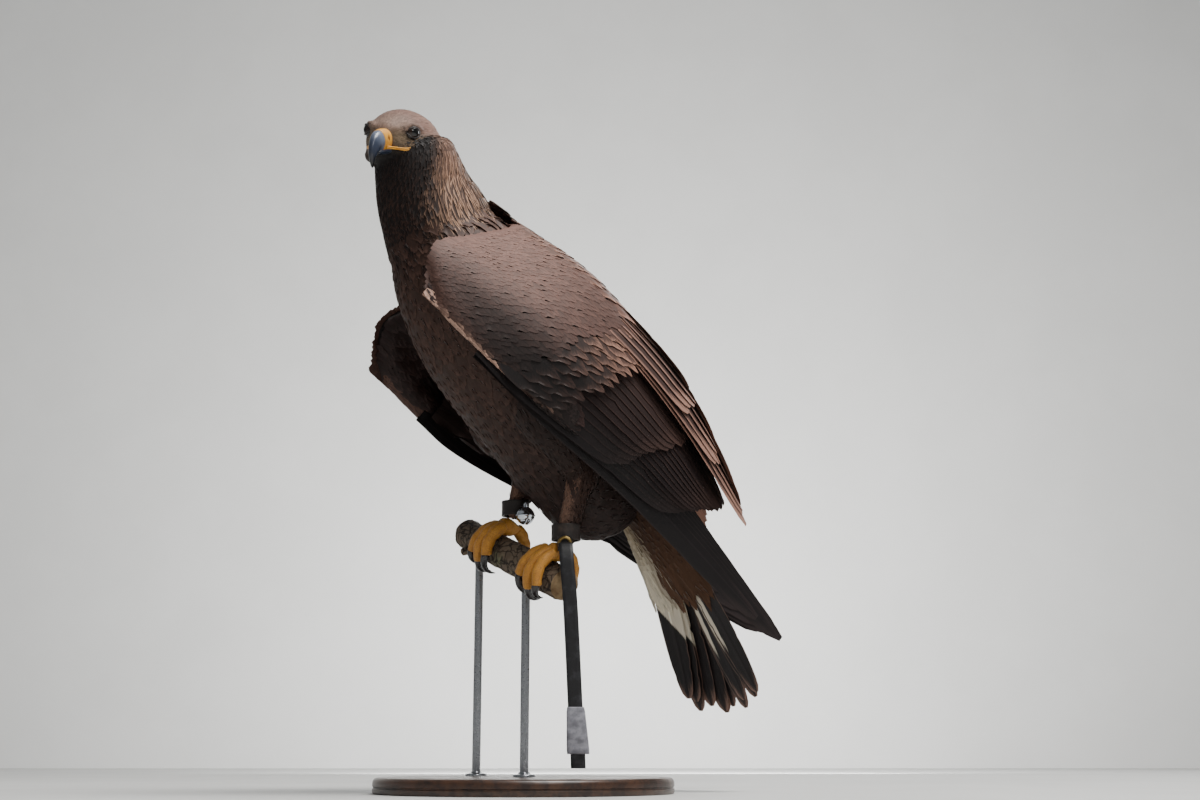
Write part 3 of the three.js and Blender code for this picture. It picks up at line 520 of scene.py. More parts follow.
def add_tube(bm, points, radii, sides=12, steps=24, ends=(0.12, 0.06)):
    """A round tube along a smooth line of points, whose radius runs through radii."""
    t = np.linspace(0, 1, steps + 1)
    rows = catmull(np.array(points, float), t)
    size = catmull(np.array(radii, float)[:, None], t)[:, 0]
    full = np.maximum(filled(inset(t), *ends), 0.02)
    along = unit(np.gradient(rows, axis=0))
    start = np.array([1.0, 0, 0]) if abs(along[0][0]) < 0.8 else np.array([0, 1.0, 0])
    side = unit(start - along[0] * start.dot(along[0]))
    angles = np.arange(sides) * 2 * math.pi / sides
    rings = []
    for i in range(steps + 1):
        side = unit(side - along[i] * side.dot(along[i]))
        other = np.cross(along[i], side)
        around = np.cos(angles)[:, None] * side + np.sin(angles)[:, None] * other
        rings.append(rows[i] + size[i] * full[i] * around)
    add_rings(bm, rings)


NARROWEST = 0.3  # a form's half width where it closes


def form_rings(form, grow=0.0, sides=32, steps=28, low=0.0, high=1.0):
    """A body form's rings of places."""
    angles = np.arange(sides) * 360 / sides
    rings = []
    for t in np.linspace(low, high, steps + 1):
        even = 0.5 * (1 - math.cos(math.pi * t))
        place = mix(t, even, 0.6)
        row, _, side, back = form.frame(np.array(place))
        full = filled(inset(place), *form.ends)
        sin, cos = np.sin(np.radians(angles)), np.cos(np.radians(angles))
        up = np.where(cos > 0, row[4], row[5]) * full + grow
        wide = row[3] * full + grow
        aside = side * (sin * np.maximum(wide, NARROWEST))[:, None]
        rings.append(row[:3] + aside + back * (cos * np.maximum(up, NARROWEST))[:, None])
    return rings


# Feathers

BODY_SPOTS = []  # where the body's feathers are rooted, and their colours, for the skin to repeat


def colour_skin():
    """Gives the skin the colour of the feather that is rooted nearest."""
    places = world(np.concatenate([spots for spots, _ in BODY_SPOTS]))
    tints = np.concatenate([tint for _, tint in BODY_SPOTS])
    tree = KDTree(len(places))
    for i, place in enumerate(places):
        tree.insert(place, i)
    tree.balance()
    nearest = [tree.find(vert.co)[1] for vert in SKIN.data.vertices]
    rgba = np.concatenate([tints[nearest], np.ones((len(nearest), 1))], axis=1)
    colour = SKIN.data.color_attributes.new("Tint", "FLOAT_COLOR", "POINT")
    colour.data.foreach_set("color", rgba.astype(np.float32).ravel())


class Plumage:
    """Collects sheets of feathers and makes them one mesh, with the maps that its material reads."""

    def __init__(self):
        self.points, self.quads, self.own, self.bake, self.tint, self.fringe = ([] for _ in range(6))
        self.vary, self.white, self.spots = [], [], []
        self.count = 0

    def add(self, points, own, bake, tint, fringe, vary, flip=False, white=0.0):
        """points: feathers, rows and columns. own and bake are its maps; the rest is one per feather."""
        n, rows, columns = points.shape[:3]
        grid = np.arange(rows * columns).reshape(rows, columns)
        quads = np.stack([grid[:-1, :-1], grid[:-1, 1:], grid[1:, 1:], grid[1:, :-1]], -1).reshape(-1, 4)
        if flip:
            quads = quads[:, ::-1]
        each = self.count + np.arange(n)[:, None, None] * rows * columns
        self.quads.append((quads[None] + each).reshape(-1, 4))
        self.points.append(points.reshape(-1, 3))
        for store, values, width in ((self.own, own, 2), (self.bake, bake, 2)):
            store.append(np.broadcast_to(values, (n, rows, columns, width)).reshape(-1, width))
        for store, values in ((self.tint, tint), (self.fringe, fringe)):
            values = np.broadcast_to(np.asarray(values, float), (n, 3))
            store.append(np.repeat(values, rows * columns, axis=0))
        self.vary.append(np.repeat(np.broadcast_to(vary, (n,)), rows * columns))
        self.white.append(np.broadcast_to(white, (n, rows, columns)).ravel())
        self.count += n * rows * columns

    def piece(self, name, material, replaces=(), slot=None):
        points = world(np.concatenate(self.points))
        quads = np.concatenate(self.quads)
        mesh = bpy.data.meshes.new(name)
        mesh.vertices.add(len(points))
        mesh.vertices.foreach_set("co", points.astype(np.float32).ravel())
        mesh.loops.add(quads.size)
        mesh.loops.foreach_set("vertex_index", quads.astype(np.int32).ravel())
        mesh.polygons.add(len(quads))
        mesh.polygons.foreach_set("loop_start", np.arange(0, quads.size, 4, dtype=np.int32))
        corners = quads.ravel()
        for title, values in (("OFBake", self.bake), ("FeatherUV", self.own)):
            layer = mesh.uv_layers.new(name=title)
            layer.uv.foreach_set("vector", np.concatenate(values)[corners].astype(np.float32).ravel())
        for title, values in (("Tint", self.tint), ("Fringe", self.fringe)):
            colour = mesh.color_attributes.new(title, "FLOAT_COLOR", "POINT")
            rgba = np.concatenate([np.concatenate(values), np.ones((len(points), 1))], axis=1)
            colour.data.foreach_set("color", rgba.astype(np.float32).ravel())
        for title, values in (("Vary", self.vary), ("White", self.white)):
            layer = mesh.attributes.new(title, "FLOAT", "POINT")
            layer.data.foreach_set("value", np.concatenate(values).astype(np.float32))
        mesh.update()
        mesh.validate()
        mesh.shade_smooth()
        if name.startswith("coat_") and "shoulder" not in name and "tail" not in name:
            BODY_SPOTS.extend(self.spots)
        return new_piece(name, mesh, material, replaces)


JITTER = 0.22  # how far a root strays from its row, as a share of the spacing


def staggered(surface, a_range, b_range, gap, spacing, rng):
    """Roots in staggered rows, gap millimetres apart, with spacing along each. Both may vary with a."""
    a_low, a_high = a_range
    a = a_low
    roots = []
    row = 0
    while a < a_high:
        b = np.linspace(*b_range, 160)
        line = surface.base(np.full_like(b, a), b)
        reach = run(line)
        here = spacing(a) if callable(spacing) else spacing
        down = gap(a) if callable(gap) else gap
        count = max(int(reach[-1] / here), 1)
        marks = (np.arange(count) + 0.5 * (row % 2) + rng.uniform(-JITTER, JITTER, count)) * reach[-1] / count
        places = np.interp(marks, reach, b)
        along, _ = surface.slopes(np.full_like(places, a), places)
        pace = 1 / np.maximum(np.linalg.norm(along, axis=1), 1e-6)
        wander = a + rng.uniform(-JITTER, JITTER, count) * down * pace
        roots.append(np.stack([wander, places], 1))
        a += down * float(np.median(pace))
        row += 1
    return np.concatenate(roots)


BAKE_LOW = 0.02  # the span of the OFBake map that is used, and the width of each feather's patch in it
BAKE_HIGH = 0.975
BAKE_PATCH = 0.003

OUTLINES = {
    # width at s along the feather, and how much shorter its edges are than its middle
    "round": (lambda s: 0.62 + 0.38 * smooth(s, 0, 0.35) - 0.42 * smooth(s, 0.72, 1), 0.26),
    "pointed": (lambda s: (0.55 + 0.45 * smooth(s, 0, 0.25)) * (1 - 0.93 * smooth(s, 0.4, 1)), 0.05),
    "loose": (lambda s: 0.5 + 0.5 * smooth(s, 0, 0.4) - 0.5 * smooth(s, 0.6, 1), 0.3),
}


def lay(plumage, surface, roots, rng, *, length, width, tint, fringe, rise=(-1.0, 1.2), camber=0.1, loft=1.0,
        outline="round", rows=4, columns=4, rag=0.06, wobble=4.0, transform=same, flip=False, fit=None,
        extent=(0, 1, 0, 1)):
    """Lays one feather at each root, in millimetres.

    rise is its height at its root and tip, camber how its edges fall, loft how unevenly feathers lie over
    one another, rag how ragged its tip is, and wobble how far it turns from the way the coat lies, in
    degrees. extent is the surface's span of a and b in the OFBake map.
    """
    a, b = roots[:, 0], roots[:, 1]
    n = len(a)
    size = rng.uniform(0.88, 1.12, n)
    length, width = (np.broadcast_to(v, (n,)) * size for v in (length, width))
    turn = np.radians(rng.normal(0, wobble, n))
    pa, pb = surface.slopes(a, b)
    lie = unit(pa)
    normal = unit(np.cross(pb, pa)) * surface.outward
    aside = np.cross(lie, normal)
    down = lie * np.cos(turn)[:, None] + aside * np.sin(turn)[:, None]
    over = aside * np.cos(turn)[:, None] - lie * np.sin(turn)[:, None]
    e, f, g = dot(pa, pa), dot(pa, pb), dot(pb, pb)
    det = np.maximum(e * g - f * f, 1e-9)

    def moves(way):
        return (dot(way, pa) * g - dot(way, pb) * f) / det, (dot(way, pb) * e - dot(way, pa) * f) / det

    (down_a, down_b), (over_a, over_b) = moves(down), moves(over)
    s = np.linspace(0, 1, rows + 1)[None, :, None]
    x = np.linspace(-1, 1, columns + 1)[None, None, :]
    profile, shorter = OUTLINES[outline]
    ragged = rng.uniform(0, rag, (n, 1, columns + 1)) * s**4
    along = length[:, None, None] * (s * (1 - ragged) - shorter * s**3 * np.abs(x) ** 1.8)
    across = width[:, None, None] / 2 * x * profile(s)
    low, high = (np.broadcast_to(v, (n,))[:, None, None] for v in rise)
    wide = width[:, None, None]
    height = low + (high - low) * s**0.6 - camber * wide * x**2 * 0.5
    height = height + loft * (rng.uniform(-0.25, 0.35, n)[:, None, None] + 0.05 * wide * x * s)
    ga = a[:, None, None] + along * down_a[:, None, None] + across * over_a[:, None, None]
    gb = b[:, None, None] + along * down_b[:, None, None] + across * over_b[:, None, None]
    if fit is None:
        points = surface.at(ga, gb, height)
    else:
        points = fit(surface.base(ga, gb), height)
    points = transform(points)
    plumage.spots.append((points[:, 1, columns // 2], np.broadcast_to(tint, (n, 3))))
    own = np.stack(np.broadcast_arrays(x * 0.5 + 0.5, s), -1)
    a0, a1, b0, b1 = extent
    root = mix(BAKE_LOW, BAKE_HIGH, np.stack([(b - b0) / (b1 - b0), (a - a0) / (a1 - a0)], -1))
    bake = np.clip(root, BAKE_LOW, BAKE_HIGH)[:, None, None, :] + own * BAKE_PATCH
    plumage.add(points, own, bake, tint, fringe, rng.random(n), flip)


QUILL_THICK = 0.7
QUILL_ROOT = 0.75  # its width at its root, as a share of its full width


def quill(plumage, line, rng, *, left, right, tint, fringe, rows=30, columns=8, blunt=0.3, point=0.3,
          tilt=0.0, camber=0.03, place=(0.5, 0.5), transform=same, flip=False, splits=3,
          white=lambda t, x: 0 * t * x):
    """One large feather along line(t), with both faces, a raised shaft and a few splits in its vanes.

    left and right are its vanes' widths, blunt the length of its rounded tip, point its width there.
    """
    t = np.linspace(0, 1, rows + 1)
    points, normals = line(t)
    along = unit(np.gradient(points, axis=0))
    across = unit(np.cross(along, normals))
    x = np.linspace(-1, 1, columns + 1)
    taper = np.sqrt(np.clip(1 - np.clip((t - 1 + blunt) / blunt, 0, None) ** 2, 0, 1))
    size = mix(QUILL_ROOT, 1, smooth(t, 0, 0.3)) * mix(point, 1, taper)
    reach = np.where(x < 0, left, right)[None, :] * size[:, None] * x[None, :]
    for _ in range(splits):
        at, edge = rng.uniform(0.45, 0.95), rng.choice([-1, 1])
        notch = np.exp(-(((t - at) / 0.012) ** 2))[:, None] * np.clip(edge * x, 0, 1)[None, :] ** 2
        reach = reach * (1 - 0.16 * rng.random() * notch)
    shaft = np.clip(1 - np.abs(x) * columns / 2.2, 0, 1)[None, :] * mix(0.9, 0.25, t)[:, None]
    bow = -camber * (reach**2) / max(left, right) + reach * tilt
    faces = []
    for face in (1, -1):
        rim = 1 - 0.7 * np.abs(x)[None, :] ** 3
        height = face * (QUILL_THICK / 2) * rim * mix(0.6, 1, taper)[:, None] + face * shaft + bow
        sheet = points[:, None] + across[:, None] * reach[..., None] + normals[:, None] * height[..., None]
        faces.append(transform(sheet))
    own = np.stack(np.broadcast_arrays(x[None, :] * 0.5 + 0.5, t[:, None]), -1)
    bake = np.array(place) + own * np.array([BAKE_PATCH, 0.05])
    vary = rng.random()
    for sheet, back in ((faces[0], False), (faces[1], True)):
        pale = np.broadcast_to(white(t[:, None], x[None, :]), sheet.shape[:2])
        plumage.add(sheet[None], own[None], bake[None], tint, fringe, vary, flip != back, pale[None])


# Materials


def material(name):
    """A new material: its nodes, its links and its main shader."""
    made = bpy.data.materials.new(name)
    made.use_nodes = True
    nodes = made.node_tree.nodes
    return made, nodes, made.node_tree.links, nodes["Principled BSDF"]


def maths(nodes, links, operation, first, second=None, third=None):
    node = nodes.new("ShaderNodeMath")
    node.operation = operation
    for i, value in enumerate((first, second, third)):
        if value is None:
            continue
        if isinstance(value, (int, float)):
            node.inputs[i].default_value = value
        else:
            links.new(value, node.inputs[i])
    return node.outputs[0]


def ramp(nodes, links, value, low, high, start=0.0, stop=1.0):
    node = nodes.new("ShaderNodeMapRange")
    node.interpolation_type = "SMOOTHSTEP"
    links.new(value, node.inputs["Value"])
    for socket, number in (("From Min", low), ("From Max", high), ("To Min", start), ("To Max", stop)):
        node.inputs[socket].default_value = number
    return node.outputs[0]


def blend(nodes, links, factor, first, second, mode="MIX"):
    node = nodes.new("ShaderNodeMix")
    node.data_type = "RGBA"
    node.blend_type = mode
    for socket, value in ((node.inputs[0], factor), (node.inputs[6], first), (node.inputs[7], second)):
        if isinstance(value, (int, float)):
            socket.default_value = value
        elif isinstance(value, tuple):
            socket.default_value = (*value, 1)
        else:
            links.new(value, socket)
    return node.outputs[2]


def speckle(nodes, links, vector, scale, detail=3.0, rough=0.55):
    node = nodes.new("ShaderNodeTexNoise")
    node.inputs["Scale"].default_value = scale
    node.inputs["Detail"].default_value = detail
    node.inputs["Roughness"].default_value = rough
    if vector is not None:
        links.new(vector, node.inputs["Vector"])
    return node.outputs["Fac"]


def relief(nodes, links, shader, height, strength, distance):
    node = nodes.new("ShaderNodeBump")
    node.inputs["Strength"].default_value = strength
    node.inputs["Distance"].default_value = distance
    links.new(height, node.inputs["Height"])
    links.new(node.outputs[0], shader.inputs["Normal"])


def reading(nodes, name):
    node = nodes.new("ShaderNodeAttribute")
    node.attribute_name = name
    return node.outputs


def object_place(nodes):
    return nodes.new("ShaderNodeTexCoord").outputs["Object"]


def feather_finish(name, *, tip=(0.72, 1.0), tip_share=0.8, edge=(0.75, 1.0), edge_share=0.5, barbs=26.0,
                   shaft=0.5, rough=0.6, sheen=0.03, contrast=0.3, bands=None, gloss=0.25):
    """Feathers: their tint turns to the fringe's at the tip and the edges, with fine barbs over both."""
    made, nodes, links, shader = material(name)
    uv = nodes.new("ShaderNodeUVMap")
    uv.uv_map = "FeatherUV"
    split = nodes.new("ShaderNodeSeparateXYZ")
    links.new(uv.outputs[0], split.inputs[0])
    across = maths(nodes, links, "ABSOLUTE", maths(nodes, links, "MULTIPLY_ADD", split.outputs[0], 2.0, -1.0))
    along = split.outputs[1]
    vary = reading(nodes, "Vary")["Fac"]
    slant = maths(nodes, links, "MULTIPLY_ADD", across, -0.32, along)
    lines = nodes.new("ShaderNodeCombineXYZ")
    links.new(maths(nodes, links, "MULTIPLY", across, 1.4), lines.inputs[0])
    links.new(maths(nodes, links, "MULTIPLY", slant, barbs), lines.inputs[1])
    links.new(maths(nodes, links, "MULTIPLY", vary, 37.0), lines.inputs[2])
    barb = speckle(nodes, links, lines.outputs[0], 1.0, 2.0)
    wear = maths(nodes, links, "MULTIPLY_ADD", barb, 0.3, -0.15)
    reach = maths(nodes, links, "ADD", maths(nodes, links, "MULTIPLY_ADD", across, 0.12, along), wear)
    at_tip = maths(nodes, links, "MULTIPLY", ramp(nodes, links, reach, *tip), tip_share)
    at_edge = ramp(nodes, links, maths(nodes, links, "ADD", across, wear), *edge)
    at_edge = maths(nodes, links, "MULTIPLY", at_edge, edge_share)
    share = maths(nodes, links, "MAXIMUM", at_tip, at_edge)
    colour = blend(nodes, links, share, reading(nodes, "Tint")["Color"], reading(nodes, "Fringe")["Color"])
    if bands:
        colour = bands(nodes, links, colour, barb)
    shade = maths(nodes, links, "MULTIPLY_ADD", barb, contrast * 2, 1 - contrast)
    shade = maths(nodes, links, "MULTIPLY", shade, maths(nodes, links, "MULTIPLY_ADD", vary, 0.3, 0.85))
    spine = ramp(nodes, links, across, 0.03, 0.1, shaft, 1.0)
    shade = maths(nodes, links, "MULTIPLY", shade, spine)
    grey = nodes.new("ShaderNodeCombineColor")
    for socket in grey.inputs:
        links.new(shade, socket)
    links.new(blend(nodes, links, 1.0, colour, grey.outputs[0], "MULTIPLY"), shader.inputs["Base Color"])
    shader.inputs["Roughness"].default_value = rough
    shader.inputs["Sheen Weight"].default_value = sheen
    shader.inputs["Sheen Roughness"].default_value = 0.4
    shader.inputs["Specular IOR Level"].default_value = gloss
    relief(nodes, links, shader, barb, 0.35, 0.0004)
    return made


def tail_bands(nodes, links, colour, barb):
    """White where the feather's own measure says so, with a mottled, ragged edge."""
    ragged = maths(nodes, links, "MULTIPLY_ADD", barb, 0.5, reading(nodes, "White")["Fac"])
    share = ramp(nodes, links, ragged, 0.62, 0.86)
    return blend(nodes, links, share, colour, tone(222, 212, 192))


def plain_finish(name, colour, rough, *, second=None, scale=40.0, bump=0.0, distance=0.0005, metal=0.0,
                 coat=0.0):
    """A finish of one or two colours with fine relief, on Object coordinates."""
    made, nodes, links, shader = material(name)
    place = object_place(nodes)
    grain = speckle(nodes, links, place, scale, 5.0, 0.6)
    links.new(blend(nodes, links, ramp(nodes, links, grain, 0.35, 0.65), colour, second or colour),
              shader.inputs["Base Color"])
    polish = ramp(nodes, links, grain, 0.3, 0.7, rough * 0.85, min(rough * 1.15, 1.0))
    links.new(polish, shader.inputs["Roughness"])
    shader.inputs["Metallic"].default_value = metal
    shader.inputs["Coat Weight"].default_value = coat
    shader.inputs["Coat Roughness"].default_value = 0.15
    if bump:
        relief(nodes, links, shader, grain, bump, distance)
    return made


def skin_finish():
    """The skin under the coat, in the coat's colours, a little darker, with the nap of down."""
    made, nodes, links, shader = material("skin_down")
    nap = speckle(nodes, links, object_place(nodes), 700.0, 4.0)
    grey = nodes.new("ShaderNodeCombineColor")
    for socket in grey.inputs:
        links.new(ramp(nodes, links, nap, 0.3, 0.7, 0.55, 0.95), socket)
    colour = blend(nodes, links, 1.0, reading(nodes, "Tint")["Color"], grey.outputs[0], "MULTIPLY")
    links.new(colour, shader.inputs["Base Color"])
    shader.inputs["Roughness"].default_value = 0.9
    relief(nodes, links, shader, nap, 0.5, 0.0006)
    return made


def eye_finish():
    """The eye: a black pupil in a dark brown ring, under a clear coat. Iris is the angle from the front."""
    made, nodes, links, shader = material("eye_wet")
    angle = reading(nodes, "Iris")["Fac"]
    fibre = speckle(nodes, links, object_place(nodes), 900.0, 3.0)
    ring = blend(nodes, links, fibre, tone(52, 33, 22), tone(28, 18, 13))
    ring = blend(nodes, links, ramp(nodes, links, angle, 0.46, 0.52), tone(3, 3, 4), ring)
    ring = blend(nodes, links, ramp(nodes, links, angle, 0.86, 1.0), ring, tone(10, 7, 6))
    links.new(ring, shader.inputs["Base Color"])
    shader.inputs["Roughness"].default_value = 0.12
    shader.inputs["Coat Weight"].default_value = 0.6
    shader.inputs["Coat Roughness"].default_value = 0.02
    shader.inputs["Specular IOR Level"].default_value = 0.3
    return made


def bill_finish():
    """Horn: blue-grey, pale at its base and black to its tip. Reach is 0 at the cere and 1 at the hook."""
    made, nodes, links, shader = material("bill_horn")
    reach = reading(nodes, "Reach")["Fac"]
    place = object_place(nodes)
    cloud = speckle(nodes, links, place, 160.0, 4.0)
    reach = maths(nodes, links, "MULTIPLY_ADD", cloud, 0.1, reach)
    colour = blend(nodes, links, ramp(nodes, links, reach, 0.1, 0.42), tone(108, 116, 134), tone(54, 61, 78))
    colour = blend(nodes, links, ramp(nodes, links, reach, 0.45, 0.85), colour, tone(22, 23, 27))
    links.new(colour, shader.inputs["Base Color"])
    shader.inputs["Roughness"].default_value = 0.3
    shader.inputs["Coat Weight"].default_value = 0.3
    shader.inputs["Coat Roughness"].default_value = 0.2
    relief(nodes, links, shader, cloud, 0.25, 0.0004)
    return made


def cere_finish():
    """Waxy yellow skin, with painted shade, dark reddish brown, in the nostril's shallow hole."""
    made, nodes, links, shader = material("cere_skin")
    cloud = speckle(nodes, links, object_place(nodes), 220.0, 4.0)
    skin = blend(nodes, links, cloud, tone(232, 172, 72), tone(208, 134, 44))
    # Painted shade in the nostril, which is pressed in only a little.
    hole = ramp(nodes, links, reading(nodes, "Nostril")["Fac"], 0.1, 0.6)
    links.new(blend(nodes, links, hole, skin, tone(96, 34, 18)), shader.inputs["Base Color"])
    shader.inputs["Roughness"].default_value = 0.42
    shader.inputs["Subsurface Weight"].default_value = 0.1
    shader.inputs["Subsurface Radius"].default_value = (0.002, 0.001, 0.0004)
    relief(nodes, links, shader, cloud, 0.3, 0.0004)
    return made


def scale_finish(name, colour, second, scale):
    """Bare skin with small scales."""
    made, nodes, links, shader = material(name)
    place = object_place(nodes)
    cells = nodes.new("ShaderNodeTexVoronoi")
    cells.feature = "DISTANCE_TO_EDGE"
    cells.inputs["Scale"].default_value = scale
    links.new(place, cells.inputs["Vector"])
    groove = ramp(nodes, links, cells.outputs["Distance"], 0.0, 0.12)
    cloud = speckle(nodes, links, place, 120.0, 4.0)
    body = blend(nodes, links, cloud, colour, second)
    links.new(blend(nodes, links, groove, tone(158, 102, 44), body), shader.inputs["Base Color"])
    shader.inputs["Roughness"].default_value = 0.48
    shader.inputs["Subsurface Weight"].default_value = 0.08
    shader.inputs["Subsurface Radius"].default_value = (0.003, 0.0015, 0.0006)
    relief(nodes, links, shader, groove, 0.5, 0.0006)
    return made


def bark_finish():
    """Dry branch: grey-brown bark with flakes, cracks along it and a little lichen."""
    made, nodes, links, shader = material("perch_bark")
    place = object_place(nodes)
    cells = nodes.new("ShaderNodeTexVoronoi")
    cells.feature = "DISTANCE_TO_EDGE"
    cells.inputs["Scale"].default_value = 95.0
    warp = nodes.new("ShaderNodeTexNoise")
    warp.inputs["Scale"].default_value = 30.0
    links.new(place, warp.inputs["Vector"])
    links.new(blend(nodes, links, 0.06, place, warp.outputs["Color"]), cells.inputs["Vector"])
    crack = ramp(nodes, links, cells.outputs["Distance"], 0.0, 0.16)
    cloud = speckle(nodes, links, place, 55.0, 6.0, 0.65)
    fine = speckle(nodes, links, place, 400.0, 4.0)
    colour = blend(nodes, links, cloud, tone(74, 61, 50), tone(132, 116, 98))
    colour = blend(nodes, links, ramp(nodes, links, fine, 0.55, 0.75, 0.0, 0.4), colour, tone(150, 140, 122))
    lichen = ramp(nodes, links, speckle(nodes, links, place, 22.0, 5.0), 0.58, 0.7, 0.0, 0.6)
    colour = blend(nodes, links, lichen, colour, tone(122, 128, 98))
    links.new(blend(nodes, links, crack, tone(44, 35, 29), colour), shader.inputs["Base Color"])
    shader.inputs["Roughness"].default_value = 0.9
    height = maths(nodes, links, "MULTIPLY_ADD", fine, 0.5, crack)
    relief(nodes, links, shader, height, 0.6, 0.0012)
    return made


def wood_finish(name, light, dark, rough, stretch=(1.0, 9.0, 9.0), scale=10.0, coat=0.25):
    """Wood with its grain along X."""
    made, nodes, links, shader = material(name)
    turn = nodes.new("ShaderNodeMapping")
    turn.inputs["Scale"].default_value = stretch
    links.new(object_place(nodes), turn.inputs["Vector"])
    streak = speckle(nodes, links, turn.outputs[0], scale, 6.0, 0.6)
    pore = speckle(nodes, links, turn.outputs[0], scale * 9, 3.0, 0.7)
    colour = blend(nodes, links, ramp(nodes, links, streak, 0.35, 0.65), light, dark)
    deep = tuple(c * 0.4 for c in dark)
    colour = blend(nodes, links, ramp(nodes, links, pore, 0.6, 0.72, 0.0, 0.6), colour, deep)
    links.new(colour, shader.inputs["Base Color"])
    links.new(ramp(nodes, links, streak, 0.3, 0.7, rough * 0.9, rough * 1.2), shader.inputs["Roughness"])
    shader.inputs["Coat Weight"].default_value = coat
    shader.inputs["Coat Roughness"].default_value = 0.25
    relief(nodes, links, shader, pore, 0.2, 0.0003)
    return made


def cord_leather(name, colour, worn):
    """Greased leather: nearly black, with a fine grain and paler, rubbed places."""
    made, nodes, links, shader = material(name)
    place = object_place(nodes)
    grain = speckle(nodes, links, place, 900.0, 3.0)
    rub = ramp(nodes, links, speckle(nodes, links, place, 60.0, 4.0), 0.5, 0.75, 0.0, 0.7)
    links.new(blend(nodes, links, rub, colour, worn), shader.inputs["Base Color"])
    links.new(ramp(nodes, links, grain, 0.3, 0.7, 0.38, 0.62), shader.inputs["Roughness"])
    relief(nodes, links, shader, grain, 0.35, 0.0003)
    return made


FEATHER_SOFT = feather_finish(
    "feather_soft", contrast=0.22, edge_share=0.35, barbs=18.0, shaft=0.85, sheen=0.05
)
FEATHER_FINE = feather_finish(
    "feather_fine", contrast=0.14, tip=(0.5, 1.0), edge_share=0.3, barbs=8.0, shaft=0.95, sheen=0.08
)
FEATHER_HACKLE = feather_finish(
    "feather_hackle", tip=(0.72, 1.05), tip_share=0.9, edge=(0.4, 0.9), edge_share=0.8, barbs=14.0, shaft=0.5
)
FEATHER_COVERT = feather_finish(
    "feather_covert", tip=(0.62, 0.98), tip_share=0.9, edge_share=0.6, barbs=30.0, shaft=0.6
)
FEATHER_LONG = feather_finish(
    "feather_long", tip=(0.88, 1.0), tip_share=0.85, edge=(0.62, 1.0), edge_share=0.75, barbs=90.0,
    shaft=0.5
)
FEATHER_FLIGHT = feather_finish(
    "feather_flight", tip=(0.96, 1.06), tip_share=0.4, edge=(0.9, 1.0), edge_share=0.45, barbs=150.0,
    shaft=1.9, rough=0.5, contrast=0.22
)
FEATHER_TAIL = feather_finish(
    "feather_tail", tip=(1.0, 1.09), tip_share=0.9, edge=(0.86, 1.0), edge_share=0.35, barbs=140.0,
    shaft=1.6, rough=0.5, contrast=0.2, bands=tail_bands
)
SKIN_DOWN = skin_finish()
DOWN = plain_finish("down", tone(46, 34, 31), 0.9, second=tone(30, 23, 22), scale=300.0, bump=0.5)

# Skin

SKIN_VOXEL = 2.6
# Places in the head: sideways, forward and up.
BROW = [(11, 41, 15), (19.5, 32.5, 19.2), (28, 21, 21.6), (34, 5, 18)]
BROW_RADII = [2.4, 3.3, 3.4, 2.0]
CHEEK = [(30, 4, -16), (36, -8, -17), (38, -24, -18)]
CHEEK_RADII = [4, 7, 6]
EYE_HOLLOW = 7.2  # the hollow's radius, inside the lids
HOLLOW_DEPTH = EYE_RADIUS - 1.2


def body_skin():
    """One skin under the feathers: its forms are joined by a remesh, then smoothed where they meet."""
    bm = bmesh.new()
    for form, grow in ((TORSO_FORM, -3.0), (NECK_FORM, -2.5), (HEAD_FORM, -1.2)):
        add_rings(bm, form_rings(form, grow))
    for foot in (LEFT_FOOT, RIGHT_FOOT):
        add_rings(bm, form_rings(Form(thigh_rows(foot), 0.2, 0.05), -2.5, 24, 16))
        add_rings(bm, form_rings(Form(tarsus_rows(foot), 0.05, 0.04), -1.8, 20, 14))
    for side in (1, -1):
        add_tube(bm, [head_point(side * x, y, z) for x, y, z in BROW], BROW_RADII, 10, 14)
        add_tube(bm, [head_point(side * x, y, z) for x, y, z in CHEEK], CHEEK_RADII, 12, 12)
    bmesh.ops.recalc_face_normals(bm, faces=bm.faces)
    mesh = bpy.data.meshes.new("skin")
    bm.to_mesh(mesh)
    bm.free()
    piece = bpy.data.objects.new("skin", mesh)
    bpy.context.scene.collection.objects.link(piece)
    remesh = piece.modifiers.new("joined", "REMESH")
    remesh.mode = "VOXEL"
    remesh.voxel_size = SKIN_VOXEL * MM
    relax = piece.modifiers.new("relaxed", "SMOOTH")
    relax.factor = 0.6
    relax.iterations = 14
    joined = piece.evaluated_get(bpy.context.evaluated_depsgraph_get())
    made = bpy.data.meshes.new_from_object(joined)
    bpy.data.objects.remove(piece)
    bm = bmesh.new()
    bm.from_mesh(made)
    bm.verts.ensure_lookup_table()
    places = np.array([v.co[:] for v in bm.verts]) / MM - np.array([0, 0, PERCH_HEIGHT])
    side, forward, up = from_head(places)
    across, along, out, away = eye_frame(side, forward, up)
    over = (out > 0) & (np.hypot(across, along) < EYE_HOLLOW) & (away > HOLLOW_DEPTH)
    for k in np.nonzero(over)[0]:
        local = np.array([abs(side[k]), forward[k], up[k]])
        local = EYE_PLACE + (local - EYE_PLACE) * HOLLOW_DEPTH / away[k]
        bm.verts[int(k)].co = world(head_point(math.copysign(local[0], side[k]), local[1], local[2]))
    bm.to_mesh(made)
    bm.free()
    made.name = "skin"
    made.shade_smooth()
    hidden = ["head", "neck", "torso", "thigh_left", "thigh_right", "tarsus_left", "tarsus_right"]
    return new_piece("skin", made, SKIN_DOWN, hidden)


SKIN = body_skin()
SKIN_TREE = BVHTree.FromPolygons(
    [v.co.copy() for v in SKIN.data.vertices], [tuple(p.vertices) for p in SKIN.data.polygons]
)


FIT_NEAR = 7 * MM  # feathers nearer the skin than this lie on it; past FIT_FAR they hang free
FIT_FAR = 16 * MM


